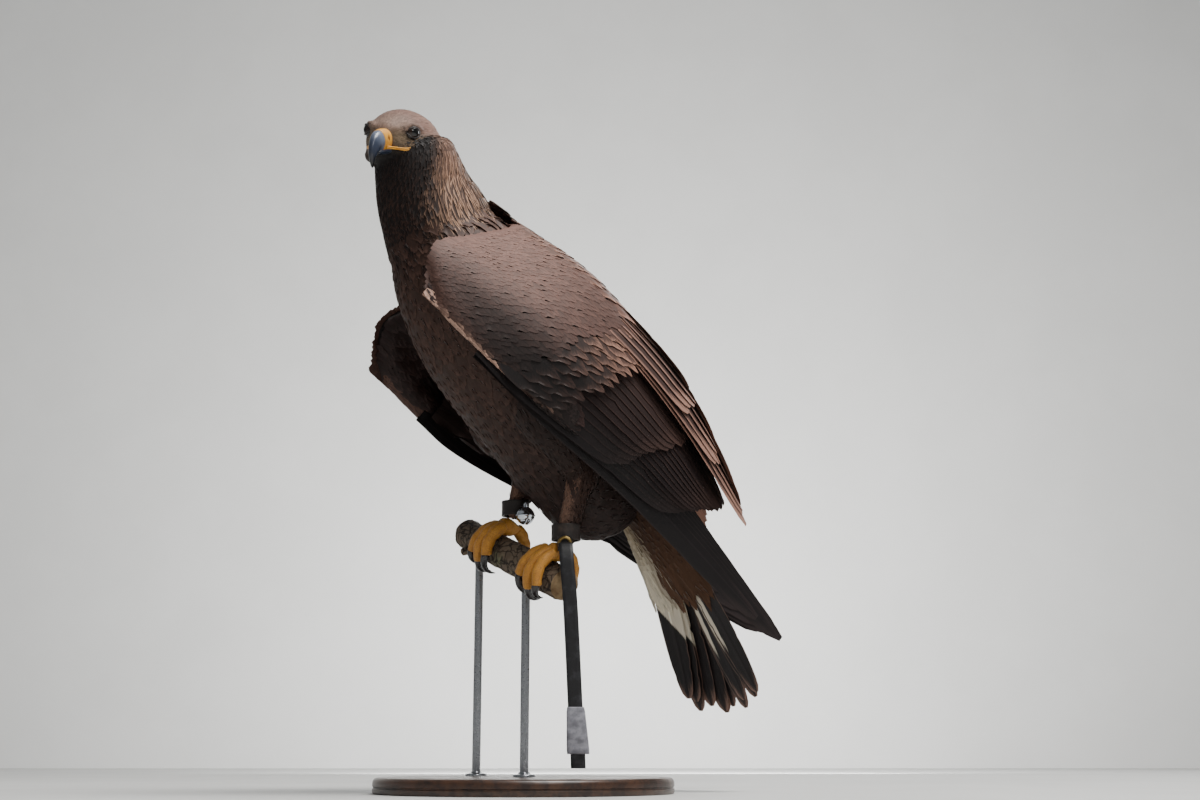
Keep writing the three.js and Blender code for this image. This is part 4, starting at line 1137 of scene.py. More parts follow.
def fit_to_skin(points, height):
    """Moves places near the skin onto it, raised by height, so that the coat runs over the joints."""
    flat = world(points.reshape(-1, 3))
    lift = np.broadcast_to(height, points.shape[:-1]).ravel() * MM
    out = np.empty_like(flat)
    for i, place in enumerate(flat):
        near, normal, _, away = SKIN_TREE.find_nearest(place)
        loose = min(max((away - FIT_NEAR) / (FIT_FAR - FIT_NEAR), 0.0), 1.0)
        out[i] = mix(np.array(near + normal * lift[i]), place, loose)
    return (out / MM - np.array([0, 0, PERCH_HEIGHT])).reshape(points.shape)


# Coat


NECK_ROOTS_FAR = 5.0


def on_skin(surface, roots, far):
    """The roots that lie within far millimetres of the skin."""
    places = world(surface.base(roots[:, 0], roots[:, 1]))
    away = np.array([SKIN_TREE.find_nearest(place)[3] for place in places])
    return roots[away < far * MM]


def colours(table, share):
    """Colours along share, from 0 to 1, between those of a table."""
    table = np.array([tone(*row) for row in table])
    return catmull(table, np.clip(share, 0, 1)).clip(0.002, 1)


def eye_ring(side, forward, up):
    """How far a place of the head is from the eye, as a share of its lids' oval."""
    across, along, out, _ = eye_frame(side, forward, up)
    oval = np.hypot(across / np.where(across > 0, 9.6, 8.4), along / np.where(along > 0, 6.0, 6.6))
    return np.where(out > -2, oval, 9.0)


ROUND = (-180, 180)
ROUND_EXTENT = (0, 1, *ROUND)


def head_coat():
    """The short feathers of the face and crown: smallest round the bill and the eyes, with painted shade
    round the eyes, and dark under them, where the chin's own dark brown is deepened by painted shade.
    """
    rng = np.random.default_rng(11)
    coat = Plumage()
    gap, spacing = (lambda a: mix(1.7, 4.2, a)), (lambda a: mix(1.7, 3.8, a))
    roots = staggered(HEAD_FORM, (0.02, 1.0), ROUND, gap, spacing, rng)
    side, forward, up = from_head(HEAD_FORM.base(roots[:, 0], roots[:, 1]))
    eye = eye_ring(side, forward, up)
    bill = (forward > 43) & (np.abs(side) < 11.5) & (up < 17)
    mouth = (np.abs(up + 6.6 + 0.03 * (30 - forward)) < 1.6) & (forward > 14)
    keep = (eye > 1.0) & ~bill & ~mouth
    roots, side, forward, up, eye = roots[keep], side[keep], forward[keep], up[keep], eye[keep]
    size = mix(4.6, 19.0, smooth(-forward, -34, 46))
    size = np.where(eye < 1.5, 3.4, size)
    crown_tones = [(134, 112, 100), (116, 90, 80), (120, 91, 79), (118, 86, 71)]
    cheek_tones = [(118, 101, 82), (90, 72, 58), (62, 45, 38), (96, 69, 56)]
    crown = colours(crown_tones, smooth(-forward, -46, 45))
    cheek = colours(cheek_tones, smooth(-forward, -40, 30))
    # The chin and throat: their own dark brown, darkened further by painted shade under the head.
    chin_with_painted_shade = np.array(tone(24, 19, 18))
    high = smooth(up - 0.1 * forward, 4, 16)[:, None]
    low = smooth(up - 0.35 * (forward - 10), -22, -6)[:, None]
    tint = chin_with_painted_shade * (1 - low) + low * (cheek * (1 - high) + crown * high)
    across, along, _, _ = eye_frame(side, forward, up)
    # Painted shade of the brow round the deep-set eye: a thin ring above it, wider in front of it and below.
    beside = np.where(across > 0, smooth(eye, 1.0, 2.0), smooth(eye, 0.9, 1.5))
    shade = np.where(along > 3, smooth(eye, 0.95, 1.25), beside)
    tint = tint * mix(0.14, 1, shade)[:, None]
    streak = rng.uniform(0.85, 1.12, len(tint))[:, None]
    lay(coat, HEAD_FORM, roots, rng, length=size, width=np.maximum(size * 0.4, 2.4), tint=tint * streak,
        fringe=np.clip(tint * 1.15, 0, 1), rise=(0.05, 0.5), outline="pointed", rows=3, columns=2, wobble=5,
        fit=fit_to_skin, extent=ROUND_EXTENT)
    coat.piece("coat_head", FEATHER_FINE, (), "head_feathers")


def neck_coat():
    """Soft dark feathers down the throat, darkest near the head with painted shade, and long pointed ones
    over the nape and the sides.
    """
    rng = np.random.default_rng(12)
    coat = Plumage()
    gap, spacing = (lambda a: mix(5, 8.5, a)), (lambda a: mix(4, 7, a))
    roots = staggered(NECK_COAT, (0.012, 1.0), ROUND, gap, spacing, rng)
    roots = on_skin(NECK_COAT, roots, NECK_ROOTS_FAR)
    a, b = roots[:, 0], np.abs(roots[:, 1])
    nape = 1 - smooth(b, 96, 134)
    # The throat's own dark brown, made darker near the head by painted shade.
    front = colours([(22, 17, 17), (32, 24, 22), (50, 36, 32)], a)
    back = colours([(116, 86, 72), (58, 42, 35), (56, 41, 36)], a)
    tint = mix(front, back, nape[:, None])
    edge_front = colours([(30, 23, 22), (66, 47, 40), (74, 53, 46)], a)
    edge_back = colours([(176, 136, 112), (206, 164, 136), (128, 95, 82)], a)
    fringe = mix(edge_front, edge_back, (nape * rng.uniform(0.35, 1.0, len(nape)))[:, None])
    streaked = nape > rng.uniform(0.2, 0.8, len(nape))
    for group, outline, long, wide in ((~streaked, "loose", 0.8, 1.0), (streaked, "pointed", 1.2, 0.85)):
        t = a[group]
        length = mix(20, 44, smooth(t, 0, 0.5)) * long
        width = mix(6.0, 12.0, smooth(t, 0, 0.7)) * wide
        lay(coat, NECK_COAT, roots[group], rng, length=length, width=width, tint=tint[group],
            fringe=fringe[group], rise=(-1.2, mix(0.6, 1.8, smooth(t, 0, 0.5))), outline=outline, rows=5,
            columns=2 if long > 1 else 4, wobble=6, rag=0.0 if long > 1 else 0.16, fit=fit_to_skin,
            extent=(-0.1, 1, *ROUND))
    coat.piece("coat_neck", FEATHER_HACKLE, (), "neck_feathers")


def torso_coat():
    """The soft, ragged feathers of the breast, belly and back."""
    rng = np.random.default_rng(13)
    coat = Plumage()
    roots = staggered(TORSO_COAT, (0.02, 0.99), ROUND, 11.0, 11.0, rng)
    a, b = roots[:, 0], np.abs(roots[:, 1])
    back = 1 - smooth(b, 70, 110)
    length = mix(36, 46, a) * mix(1.0, 1.1, back)
    width = mix(23, 27, a)
    breast_tones = [(92, 66, 56), (96, 70, 60), (84, 62, 54), (64, 48, 44), (54, 42, 39)]
    mantle_tones = [(98, 72, 62), (104, 78, 70), (96, 72, 66), (84, 64, 60)]
    breast = colours(breast_tones, a)
    mantle = colours(mantle_tones, a)
    # The breast is darkened more than the back: partly its own darker brown, partly painted shade of the
    # underside.
    tint = mix(breast * 0.42, mantle * 0.6, back[:, None])
    fringe = np.clip(tint * mix(1.7, 2.1, back)[:, None] + 0.004, 0, 1)
    lay(coat, TORSO_COAT, roots, rng, length=length, width=width, tint=tint, fringe=fringe, rise=(-1.2, 2.4),
        outline="loose", rows=5, columns=6, rag=0.16, wobble=6, fit=fit_to_skin, extent=ROUND_EXTENT)
    coat.piece("coat_body", FEATHER_SOFT, (), "body_feathers")


def leg_coat(name, foot):
    """The long feathers of the thigh, and the short ones down to the toes, with a painted highlight down
    their front.
    """
    rng = np.random.default_rng(14 + int(foot[0] > 0))
    coat = Plumage()
    thigh = Form(thigh_rows(foot), 0.2, 0.05)
    shin = Form(tarsus_rows(foot), 0.05, 0.04)
    roots = staggered(thigh, (0.1, 0.93), ROUND, 9.0, 8.5, rng)
    a = roots[:, 0]
    tint = colours([(44, 33, 30), (48, 36, 32), (62, 46, 40)], a)
    lay(coat, thigh, roots, rng, length=mix(44, 26, a), width=mix(19, 12, a), tint=tint * 0.9,
        fringe=np.clip(tint * 1.5, 0, 1), rise=(-1.2, 2.2), outline="loose", rows=5, columns=5, rag=0.18,
        wobble=7, fit=fit_to_skin, extent=ROUND_EXTENT)
    roots = staggered(shin, (0.05, 0.93), ROUND, 4.2, 4.4, rng)
    a, b = roots[:, 0], np.abs(roots[:, 1])
    # Paler down the front of the leg: a painted highlight for its lit front edge.
    tint = mix(np.array(tone(58, 43, 37)), np.array(tone(124, 96, 82)), smooth(b, 90, 150)[:, None])
    lay(coat, shin, roots, rng, length=mix(17, 12, a), width=6.5, tint=tint,
        fringe=np.clip(tint * 1.3, 0, 1), rise=(-0.8, 1.3), outline="loose", rows=4, columns=3, rag=0.2,
        wobble=9, fit=fit_to_skin, extent=ROUND_EXTENT)
    coat.piece(name, FEATHER_SOFT, (), "body_feathers")


WING_EXTENT = (0, 0.6, -0.6, 0.85)


def wing_coat(transform, flip, seed, edge):
    """The small coverts, wrapped round the arm, and the lining of the wing's underside.

    edge is the colour painted along its leading edge: a pale painted highlight on the lit left wing, a darker
    colour for painted shade on the right wing.
    """
    rng = np.random.default_rng(seed)
    coat = Plumage()

    def tier(roots, *, length, width, tint, fringe, rise, **more):
        lay(coat, WING_ARM, roots, rng, length=length, width=width, tint=tint, fringe=fringe, rise=rise,
            transform=transform, flip=flip, extent=WING_EXTENT, **more)

    under = staggered(WING_ARM, (0.01, 0.44), (-0.6, -0.02), 8.0, 9.0, rng)
    under = under[under[:, 0] < arm_reach(-under[:, 1]) * 0.96]
    tint = np.array(tone(44, 32, 30)) * np.ones((len(under), 3))
    tier(under, length=28, width=15, tint=tint, fringe=tint * 1.6, rise=(-0.6, 0.9), rag=0.1)
    gap, spacing = (lambda a: mix(5.0, 8, min(a / 0.25, 1))), (lambda a: mix(6, 10, min(a / 0.25, 1)))
    small = staggered(WING_ARM, (0.0, 0.42), (-0.03, 0.83), gap, spacing, rng)
    a, u = small[:, 0], np.maximum(small[:, 1], 0)
    reach = np.maximum(arm_end(u) - 0.06, 0.42 * (1 - smooth(u, 0.03, 0.1)))
    small = small[a < reach]
    a, u, reach = small[:, 0], u[a < reach], reach[a < reach]
    share = np.clip(a / reach, 0, 1)
    # Lighter high on the wing than near its leading edge: partly the coverts' own pattern, partly painted
    # light and shade of a wing lit from above.
    upper = smooth(u, 0.12, 0.45)
    low = colours([(74, 54, 48), (46, 34, 31), (30, 23, 22)], share)
    high = colours([(118, 89, 80), (100, 74, 66), (80, 59, 53)], share)
    tint = mix(low, high, upper[:, None])
    # A painted highlight along the leading edge, fading out towards the hand.
    edge_highlight = (np.exp(-((u / 0.012) ** 2)) * (1 - smooth(a, 0.24, 0.4)))[:, None]
    tint = mix(tint, np.array(edge), 0.8 * edge_highlight)
    tier(small, length=mix(17, 32, share), width=mix(11, 20, share), tint=tint,
         fringe=np.clip(tint * 1.25, 0, 1), rise=(-0.6, mix(0.1, 0.45, share)), rag=0.05, wobble=2.5,
         camber=0.035, loft=0.35)
    below = WingUnder()
    count, stray = 17, 0.008
    for start in (0.2, 0.27, 0.34, 0.41, 0.48):
        u = np.linspace(0.05, 0.58, count) + rng.uniform(-stray, stray, count)
        roots = np.stack([start + 0.12 * u + rng.uniform(-stray, stray, count), -u], 1)
        tint = np.array(tone(40, 30, 28)) * np.ones((count, 3))
        lay(coat, below, roots, rng, length=62, width=30, tint=tint, fringe=tint * 1.6, rise=(-1.0, 1.2),
            transform=transform, flip=flip, extent=WING_EXTENT, rows=6, columns=5)
    return coat


COVERT_SPACING = 13.0
COVERT_START = 0.025
# How far back each row is rooted, and its feathers' length and width.
COVERT_TIERS = [(0.1, 62, 27), (0.055, 58, 25), (0.01, 52, 23)]
COVERT_SPAN = (0.03, 0.82)
# From the leading edge to the back.
COVERT_TINTS = [(24, 19, 19), (38, 29, 27), (78, 57, 50), (88, 64, 56)]
COVERT_FRINGES = [(36, 28, 27), (84, 62, 54), (160, 121, 104), (168, 130, 113)]


def covert_tier(coat, rng, back, length, width, rise, side):
    """One row of larger coverts across the wing, rooted near the arm's end."""

    def start(u):
        return arm_end(u) + COVERT_START - back

    b = np.linspace(*COVERT_SPAN, 200)
    reach = run(WING_TOP.base(start(b), b))
    count = int(reach[-1] / COVERT_SPACING)
    marks = (np.arange(count) + 0.5 + rng.uniform(-0.15, 0.15, count)) * reach[-1] / count
    u = np.interp(marks, reach, b)
    roots = np.stack([start(u) + rng.uniform(-0.006, 0.006, count), u], 1)
    share = (u - COVERT_SPAN[0]) / (COVERT_SPAN[1] - COVERT_SPAN[0])
    lay(coat, WING_TOP, roots, rng, length=length, width=width, tint=colours(COVERT_TINTS, share),
        fringe=colours(COVERT_FRINGES, share), rise=rise, camber=0.05, rows=8, columns=6, rag=0.07,
        wobble=2.5, extent=WING_EXTENT, **side)


def wing_line(start, end):
    """A quill's line over the wing, from one place to another. A place is across, along and above it."""

    def places(t):
        u, v, height = (mix(start[k], end[k], t) for k in range(3))
        along, across = WING_TOP.slopes(v, u)
        normal = unit(np.cross(across, along)) * WING_TOP.outward
        return WING_TOP.base(v, u) + normal * height[:, None], normal

    return places


def great_coverts(quills, rng, side, count=15):
    """The stiff coverts over the roots of the secondaries."""
    for i in range(count):
        share = i / (count - 1)
        u = mix(0.03, 0.62, share)
        end = (u + 0.02, 0.56 + 0.28 * u + 0.012 * rng.random(), -8.3)
        quill(quills, wing_line((u, arm_step(u) + 0.03, -9.6), end), rng, left=15, right=17, tilt=0.1,
              tint=colours([(24, 19, 20), (52, 39, 36)], share),
              fringe=colours([(40, 31, 30), (104, 79, 70)], share), rows=24, blunt=0.2,
              place=(0.1 + 0.8 * share, 0.1), **side)


def secondaries(quills, rng, side, count=17):
    """The quills of the forearm, nearly black, browner towards the back."""
    outer, inner = np.array(tone(22, 18, 19)), np.array(tone(38, 29, 28))
    outer_rim, inner_rim = np.array(tone(44, 34, 33)), np.array(tone(84, 64, 57))
    for i in range(count):
        share = i / (count - 1)
        u = mix(0.03, 0.6, share)
        end = (u + 0.05, 0.7 + 0.32 * u + 0.008 * rng.random(), -12.4)
        quill(quills, wing_line((u, arm_step(u) + 0.03, -14.6), end), rng, left=16, right=20, tilt=0.09,
              tint=mix(outer, inner, share), fringe=mix(outer_rim, inner_rim, share), blunt=0.16,
              place=(0.1 + 0.8 * share, 0.3), **side)


# How far along the wing each primary reaches.
PRIMARY_TIPS = [0.93, 0.985, 1.0, 0.99, 0.96, 0.915, 0.865, 0.82, 0.775]


def primaries(quills, rng, side):
    """The quills of the hand, folded under the secondaries, down to the wing's tip."""
    for i, tip in enumerate(PRIMARY_TIPS):
        u = 0.05 + 0.026 * i
        deep = 1.3 * i
        line = wing_line((u, arm_step(u) + 0.05, -20.2 - deep), (0.028 * i, tip, -16.4 - deep))
        quill(quills, line, rng, left=10, right=20, tilt=0.02, tint=tone(24, 20, 21), fringe=tone(58, 47, 46),
              rows=40, blunt=0.34, point=0.22, place=(0.1 + 0.08 * i, 0.5), **side)


# How far along the wing each layer reaches, and its height.
INNER_LAYERS = [(0.9, 3.2), (0.78, 5.2), (0.66, 7.0)]


def inner_feathers(quills, rng, side, count=6):
    """The long brown feathers next to the body, in layers."""
    for layer, (reach, height) in enumerate(INNER_LAYERS):
        for i in range(count):
            u = mix(0.56, 0.75, i / (count - 1)) + 0.01 * layer
            start = (u, arm_step(u) + 0.03 + 0.02 * layer, -5.0)
            end = (u + 0.015 * i / count, reach + 0.05 * i / count + 0.02 * rng.random(), height + 0.4)
            quill(quills, wing_line(start, end), rng, left=15, right=16, tilt=0.14, tint=tone(58, 43, 39),
                  fringe=tone(156, 118, 103), rows=26, blunt=0.22, place=(0.1 + 0.13 * i, 0.7 + 0.06 * layer),
                  **side)


def wing(name, transform, flip, seed, edge):
    """One wing, from its small coverts to the long inner feathers that lie over its quills."""
    side = {"transform": transform, "flip": flip}
    coat = wing_coat(transform, flip, seed, edge)
    rng = np.random.default_rng(seed + 1)
    for tier, (back, length, width) in enumerate(COVERT_TIERS):
        covert_tier(coat, rng, back, length, width, (-2.6 + 0.5 * tier, 0.6 + 0.5 * tier), side)
    coat.piece(f"wing_{name}_coverts", FEATHER_COVERT, (f"wing_{name}_arm",), "wing_coverts")
    quills = Plumage()
    great_coverts(quills, rng, side)
    secondaries(quills, rng, side)
    quills.piece(f"wing_{name}_quills", FEATHER_FLIGHT, (f"wing_{name}_secondaries",), "flight_feathers")
    hand = Plumage()
    primaries(hand, rng, side)
    hand.piece(f"wing_{name}_hand", FEATHER_FLIGHT, (f"wing_{name}_primaries",), "flight_feathers")
    inner = Plumage()
    inner_feathers(inner, rng, side)
    inner.piece(f"wing_{name}_inner", FEATHER_LONG, (f"wing_{name}_tertials",), "wing_coverts")


def scapular_coat(name, transform, flip, seed):
    """The shoulder feathers, in rows over the root of the wing."""
    rng = np.random.default_rng(seed)
    coat = Plumage()
    gap, spacing = (lambda a: mix(7, 17, a / 0.6)), (lambda a: mix(10, 19, a / 0.6))
    roots = staggered(WING_TOP, (0.03, 0.72), (0.7, 0.97), gap, spacing, rng)
    a = roots[:, 0] / 0.72
    tint = colours([(104, 76, 66), (92, 67, 59), (66, 49, 45)], a)
    fringe = colours([(140, 104, 90), (158, 119, 103), (146, 111, 97)], a)
    lay(coat, WING_TOP, roots, rng, length=mix(24, 78, a), width=mix(15, 34, a), tint=tint, fringe=fringe,
        rise=(-1.0, mix(0.8, 3.4, a)), camber=0.16, rows=6, columns=6, rag=0.08, transform=transform,
        flip=flip, extent=(0, 0.7, 0.7, 1.05))
    coat.piece(f"coat_shoulder_{name}", FEATHER_COVERT, (f"scapulars_{name}",), "wing_coverts")


class Mantle(Surface):
    """The back between the wings, from one wing's inner edge, at b -1, to the other's, at b 1."""

    steps = (0.004, 0.02)

    def base(self, a, b):
        a, b = np.broadcast_arrays(a, b)
        left = WING_TOP.base(a, np.full(a.shape, 0.97))
        right = to_right(left)
        bridge = mix(right, left, (b[..., None] + 1) / 2)
        return bridge + np.array([0, 0.35, 0.94]) * (3.0 + 7.0 * (1 - b**2))[..., None]


def mantle_coat():
    """The feathers of the upper back, which close the gap between the wings."""
    rng = np.random.default_rng(51)
    coat = Plumage()
    gap, spacing = (lambda a: mix(8, 15, a / 0.6)), (lambda a: mix(9, 14, a / 0.6))
    roots = staggered(Mantle(), (-0.06, 0.62), (-1.15, 1.15), gap, spacing, rng)
    a = np.clip(roots[:, 0] / 0.62, 0, 1)
    tint = colours([(80, 57, 48), (92, 67, 59), (66, 49, 45)], a)
    fringe = colours([(112, 82, 70), (142, 106, 92), (140, 106, 92)], a)
    lay(coat, Mantle(), roots, rng, length=mix(30, 66, a), width=mix(18, 30, a), tint=tint, fringe=fringe,
        rise=(-3.0, mix(0.5, 2.0, a)), camber=0.14, rows=6, columns=6, rag=0.08,
        extent=(-0.06, 0.7, -1.2, 1.2))
    coat.piece("coat_shoulder_back", FEATHER_COVERT, (), "wing_coverts")


def arm_core(name, transform):
    """The thick of the wing under its coverts."""
    bm = bmesh.new()
    angles = np.linspace(0, 1, 25)
    around = np.concatenate([np.sin(angles * math.pi / 2) ** 2 * 0.8, -(0.8 - angles[1:] * 0.8)])
    rings = []
    for v in np.linspace(0.0, 1.0, 22):
        u = np.abs(around)
        a = mix(0.012 + 0.06 * np.clip(1 - u / 0.22, 0, 1) ** 2, arm_reach(u), v)
        rings.append(transform(WING_ARM.at(a, around, np.full_like(around, -1.2))))
    add_rings(bm, rings)
    bmesh.ops.remove_doubles(bm, verts=bm.verts, dist=0.02 * MM)
    from_bmesh(f"wing_{name}_flesh", bm, DOWN, ())


TAIL_RIPPLE = 1.5
TAIL_UNEVEN = 12.0


def tail_feather(fan, rng, number):
    """One feather of the fan, counted from the right."""
    spot = number - (TAIL_FEATHERS - 1) / 2
    share = spot / ((TAIL_FEATHERS - 1) / 2)
    height = 0.8 - 2.3 * abs(spot) - (1.15 if spot < 0 else 0)
    long = TAIL_LENGTH - 34 - 14 * share * share - rng.uniform(0, TAIL_UNEVEN)
    angle = share * TAIL_SPREAD + TAIL_RIPPLE * math.sin(1.9 * number + 0.7)
    turn = math.radians(angle)

    def line(t):
        across = 0.6 * angle + math.sin(turn) * long * t
        place = tail_point(across, 34 + math.cos(turn) * long * t, height - 9 * t * t)
        return place, np.broadcast_to(TAIL_BACK, place.shape)

    def white(t, x):
        """Whole vanes on the right; on the left, a line along the shaft and the inner vane's root."""
        end = mix(0.62, 0.72, (spot + 5.5) / 11) - 0.08 * x * np.sign(spot)
        root = 1 - smooth(t, end - 0.05, end + 0.05)
        streak = np.exp(-(((x + 0.72) / 0.22) ** 2)) * (1 - smooth(t, 0.6, 0.95))
        return mix(root, streak * 0.95, smooth(spot, -4.4, -2.4))

    quill(fan, line, rng, left=20, right=20, tint=tone(32, 27, 28), fringe=tone(150, 118, 104), rows=44,
          columns=12, blunt=0.42, point=0.16, camber=0.02, place=(0.08 + 0.07 * number, 0.4), splits=5,
          tilt=-0.06 * np.sign(spot), white=white)


# Sideways, along and above the tail, then the half width and the depths above and below.
TAIL_ROOTS = {
    "upper": [[0, -14, 9, 31, 9, 9], [0, 22, 7, 31, 6, 7], [0, 64, 4, 28, 3, 4]],
    "lower": [[0, -16, -26, 32, 16, 20], [0, 34, -25, 34, 12, 16], [0, 92, -20, 28, 6, 7]],
}


def upper_tints(roots, share):
    return colours([(84, 64, 58), (110, 86, 74), (150, 124, 104)], share)


def lower_tints(roots, share):
    """Dark in the middle, and pale towards the bird's right."""
    middle = colours([(34, 26, 24), (46, 33, 28), (66, 46, 34), (84, 60, 44)], share)
    sides = colours([(34, 26, 24), (52, 38, 32), (150, 134, 108), (214, 204, 182)], share)
    return mix(middle, sides, smooth(-roots[:, 1], 2, 26)[:, None])


def tail_coverts(name, rng, reach, span, tints):
    """The soft feathers over or under the root of the tail, and the flesh that they grow from."""
    above = name == "upper"
    face = TailFace(above)
    coat = Plumage()
    roots = staggered(face, reach, span, 9.0, 9.0, rng)
    share = np.clip((roots[:, 0] - reach[0]) / (reach[1] - reach[0]), 0, 1)
    tint = tints(roots, share)
    lay(coat, face, roots, rng, length=mix(42, 66, share), width=mix(17, 19, share), tint=tint,
        fringe=np.clip(tint * 1.25, 0, 1), rise=(-1.2, 1.0), outline="loose", rows=6, columns=6, rag=0.16,
        wobble=5, flip=not above, extent=(-30, 110, -100, 100))
    coat.piece(f"coat_tail_{name}", FEATHER_SOFT, (f"tail_coverts_{name}",), "tail_coverts")
    bm = bmesh.new()
    rows = [[*tail_point(*row[:3]), *row[3:]] for row in TAIL_ROOTS[name]]
    add_rings(bm, form_rings(Form(rows, 0.2, 0.3), 0, 20, 10))
    from_bmesh(f"tail_root_{name}", bm, DOWN, ())


def tail():
    rng = np.random.default_rng(41)
    fan = Plumage()
    for number in range(TAIL_FEATHERS):
        tail_feather(fan, rng, number)
    fan.piece("tail_fan", FEATHER_TAIL, ("tail",), "tail_feathers")
    tail_coverts("upper", rng, (-40, 62), (-92, 92), upper_tints)
    tail_coverts("lower", rng, (-70, 118), (-80, 66), lower_tints)


# Head details


def attribute(mesh, name, values):
    layer = mesh.attributes.new(name, "FLOAT", "POINT")
    layer.data.foreach_set("value", np.asarray(values, np.float32))


def eye(name, side):
    """The eyeball, with the clear part in front standing out a little."""
    bm = bmesh.new()
    bmesh.ops.create_uvsphere(bm, u_segments=40, v_segments=24, radius=1.0)
    local = np.array([v.co[:] for v in bm.verts])
    spin = Vector((0, 0, 1)).rotation_difference(Vector(unit(EYE_WAY))).to_matrix()
    angle = np.arccos(np.clip(local[:, 2], -1, 1))
    cornea = 1 + 0.04 * np.exp(-((angle / 0.5) ** 2))
    moved = EYE_PLACE + local @ np.array(spin).T * cornea[:, None] * EYE_RADIUS
    places = world(head_point(side * moved[:, 0], moved[:, 1], moved[:, 2]))
    for vert, place in zip(bm.verts, places):
        vert.co = place
    piece = from_bmesh(f"eye_ball_{name}", bm, EYE, (f"eye_{name}",))
    attribute(piece.data, "Iris", angle)


def lids(name, side):
    """The rim of bare dark skin that the eye looks out of: it follows the eyeball."""
    front, high, out = eye_axes()
    bm = bmesh.new()
    rings = []
    for i in range(48):
        angle = 2 * math.pi * i / 48
        long = 7.9 * math.cos(angle) + 1.1 * max(0.0, math.cos(angle)) ** 6
        tall = (5.4 if math.sin(angle) > 0 else 6.2) * math.sin(angle) + 0.4 * math.cos(angle)
        far = min(math.hypot(long, tall) / EYE_RADIUS, 0.97)
        lift = EYE_RADIUS * math.sqrt(1 - far * far) + 0.2
        middle = EYE_PLACE + front * long + high * tall + out * lift
        away = unit(front * long + high * tall)
        thick = 0.7 + 0.3 * max(0.0, math.sin(angle))
        turns = np.arange(10) * 2 * math.pi / 10
        ring = middle + thick * (1.4 * np.cos(turns)[:, None] * away + np.sin(turns)[:, None] * out)
        rings.append(head_point(side * ring[:, 0], ring[:, 1], ring[:, 2]))
    add_rings(bm, rings, closed=True)
    from_bmesh(f"lids_{name}", bm, LID_SKIN, ())


def bill_rings(rows, low, high, steps, sides, edge, ridge):
    """Rings of the bill: oval sections with a ridge on top, flat sides and a sharp lower edge."""
    form = Form(in_head(rows), 0.03, 0.06, lambda t: HEAD_TURN + 0 * t)
    angles = np.arange(sides) * 2 * math.pi / sides
    rings = []
    for t in np.linspace(low, high, steps + 1):
        row, _, side, back = form.frame(np.array(t))
        full = filled(inset(t), *form.ends)
        sin, cos = np.sin(angles), np.cos(angles)
        wide = np.sign(sin) * np.abs(sin) ** mix(1.0, 0.8, np.clip(-cos, 0, 1)) * row[3] * full
        wide = wide * mix(1.0, ridge, np.clip(cos, 0, 1) ** 2)
        up = np.where(cos > 0, row[4], row[5]) * full * cos
        up = np.where(cos < -0.6, up * edge, up)
        rings.append(row[:3] + side * wide[:, None] + back * up[:, None])
    return rings


BILL_CUT = 0.335  # where the cere ends, as a share of the bill
NOSTRIL_SIDE = 9.0
NOSTRIL_FORWARD = 50.0
NOSTRIL_UP = 5.5
NOSTRIL_DEPTH = 1.3


def mark_reach(piece, low, high, steps, sides):
    """Marks every ring with how far along the bill it is, for its colours."""
    reach = np.repeat(np.linspace(low, high, steps + 1), sides)
    attribute(piece.data, "Reach", reach[: len(piece.data.vertices)])


def upper_bill(steps=40, sides=32):
    bm = bmesh.new()
    add_rings(bm, bill_rings(BILL, BILL_CUT, 1.0, steps, sides, 0.96, 0.55))
    piece = from_bmesh("bill_hook", bm, BILL_HORN, ("bill_upper",))
    mark_reach(piece, 0, 1, steps, sides)


def lower_bill(steps=22, sides=28):
    bm = bmesh.new()
    add_rings(bm, bill_rings(LOWER_BILL, 0.02, 0.99, steps, sides, 1.0, 1.0))
    piece = from_bmesh("bill_under", bm, BILL_HORN, ("bill_lower",))
    mark_reach(piece, 0.1, 0.7, steps, sides)


def press_nostril(bm, side):
    hole = Vector(world(head_point(side * NOSTRIL_SIDE, NOSTRIL_FORWARD, NOSTRIL_UP)))
    inward = Vector(head_point(0, 0, 0) - head_point(side, 0, 0)).normalized()
    for vert in bm.verts:
        _, forward, up = from_head((np.array(vert.co) / MM - np.array([0, 0, PERCH_HEIGHT]))[None])
        away = math.hypot((forward[0] - NOSTRIL_FORWARD) / 1.7, (up[0] - NOSTRIL_UP) / 3.0)
        if away < 1.3 and (vert.co - hole).length < 9 * MM:
            vert.co += inward * NOSTRIL_DEPTH * MM * float(1 - smooth(away, 0.3, 1.3))


def cere(steps=18, sides=32):
    """The yellow skin round the root of the bill, swollen a little, with the nostrils in it."""
    bm = bmesh.new()
    rings = bill_rings(BILL, 0.0, BILL_CUT + 0.012, steps, sides, 0.96, 0.62)
    swell = np.sin(np.linspace(0, math.pi, steps + 1)) * 0.4 + 0.3
    add_rings(bm, [ring + unit(ring - ring.mean(0)) * out for ring, out in zip(rings, swell)])
    for side in (1, -1):
        press_nostril(bm, side)
    places = np.array([v.co[:] for v in bm.verts]) / MM - np.array([0, 0, PERCH_HEIGHT])
    _, forward, up = from_head(places)
    # Where the nostril's painted shade goes.
    hole = np.exp(-(np.hypot((forward - NOSTRIL_FORWARD) / 1.5, (up - NOSTRIL_UP) / 2.8) ** 2))
    piece = from_bmesh("bill_cere", bm, CERE, ("cere",))
    attribute(piece.data, "Nostril", hole)


# The mouth's yellow line, from the bill back to below the eye, and its radii.
MOUTH = [(8.2, 54, -4.6), (11.5, 47, -5.2), (17, 38, -6.0), (22.5, 30, -6.6), (27, 22, -7.2),
         (30.5, 15, -7.7)]
MOUTH_RADII = np.array([0.9, 1.0, 1.15, 1.25, 1.2, 1.0])


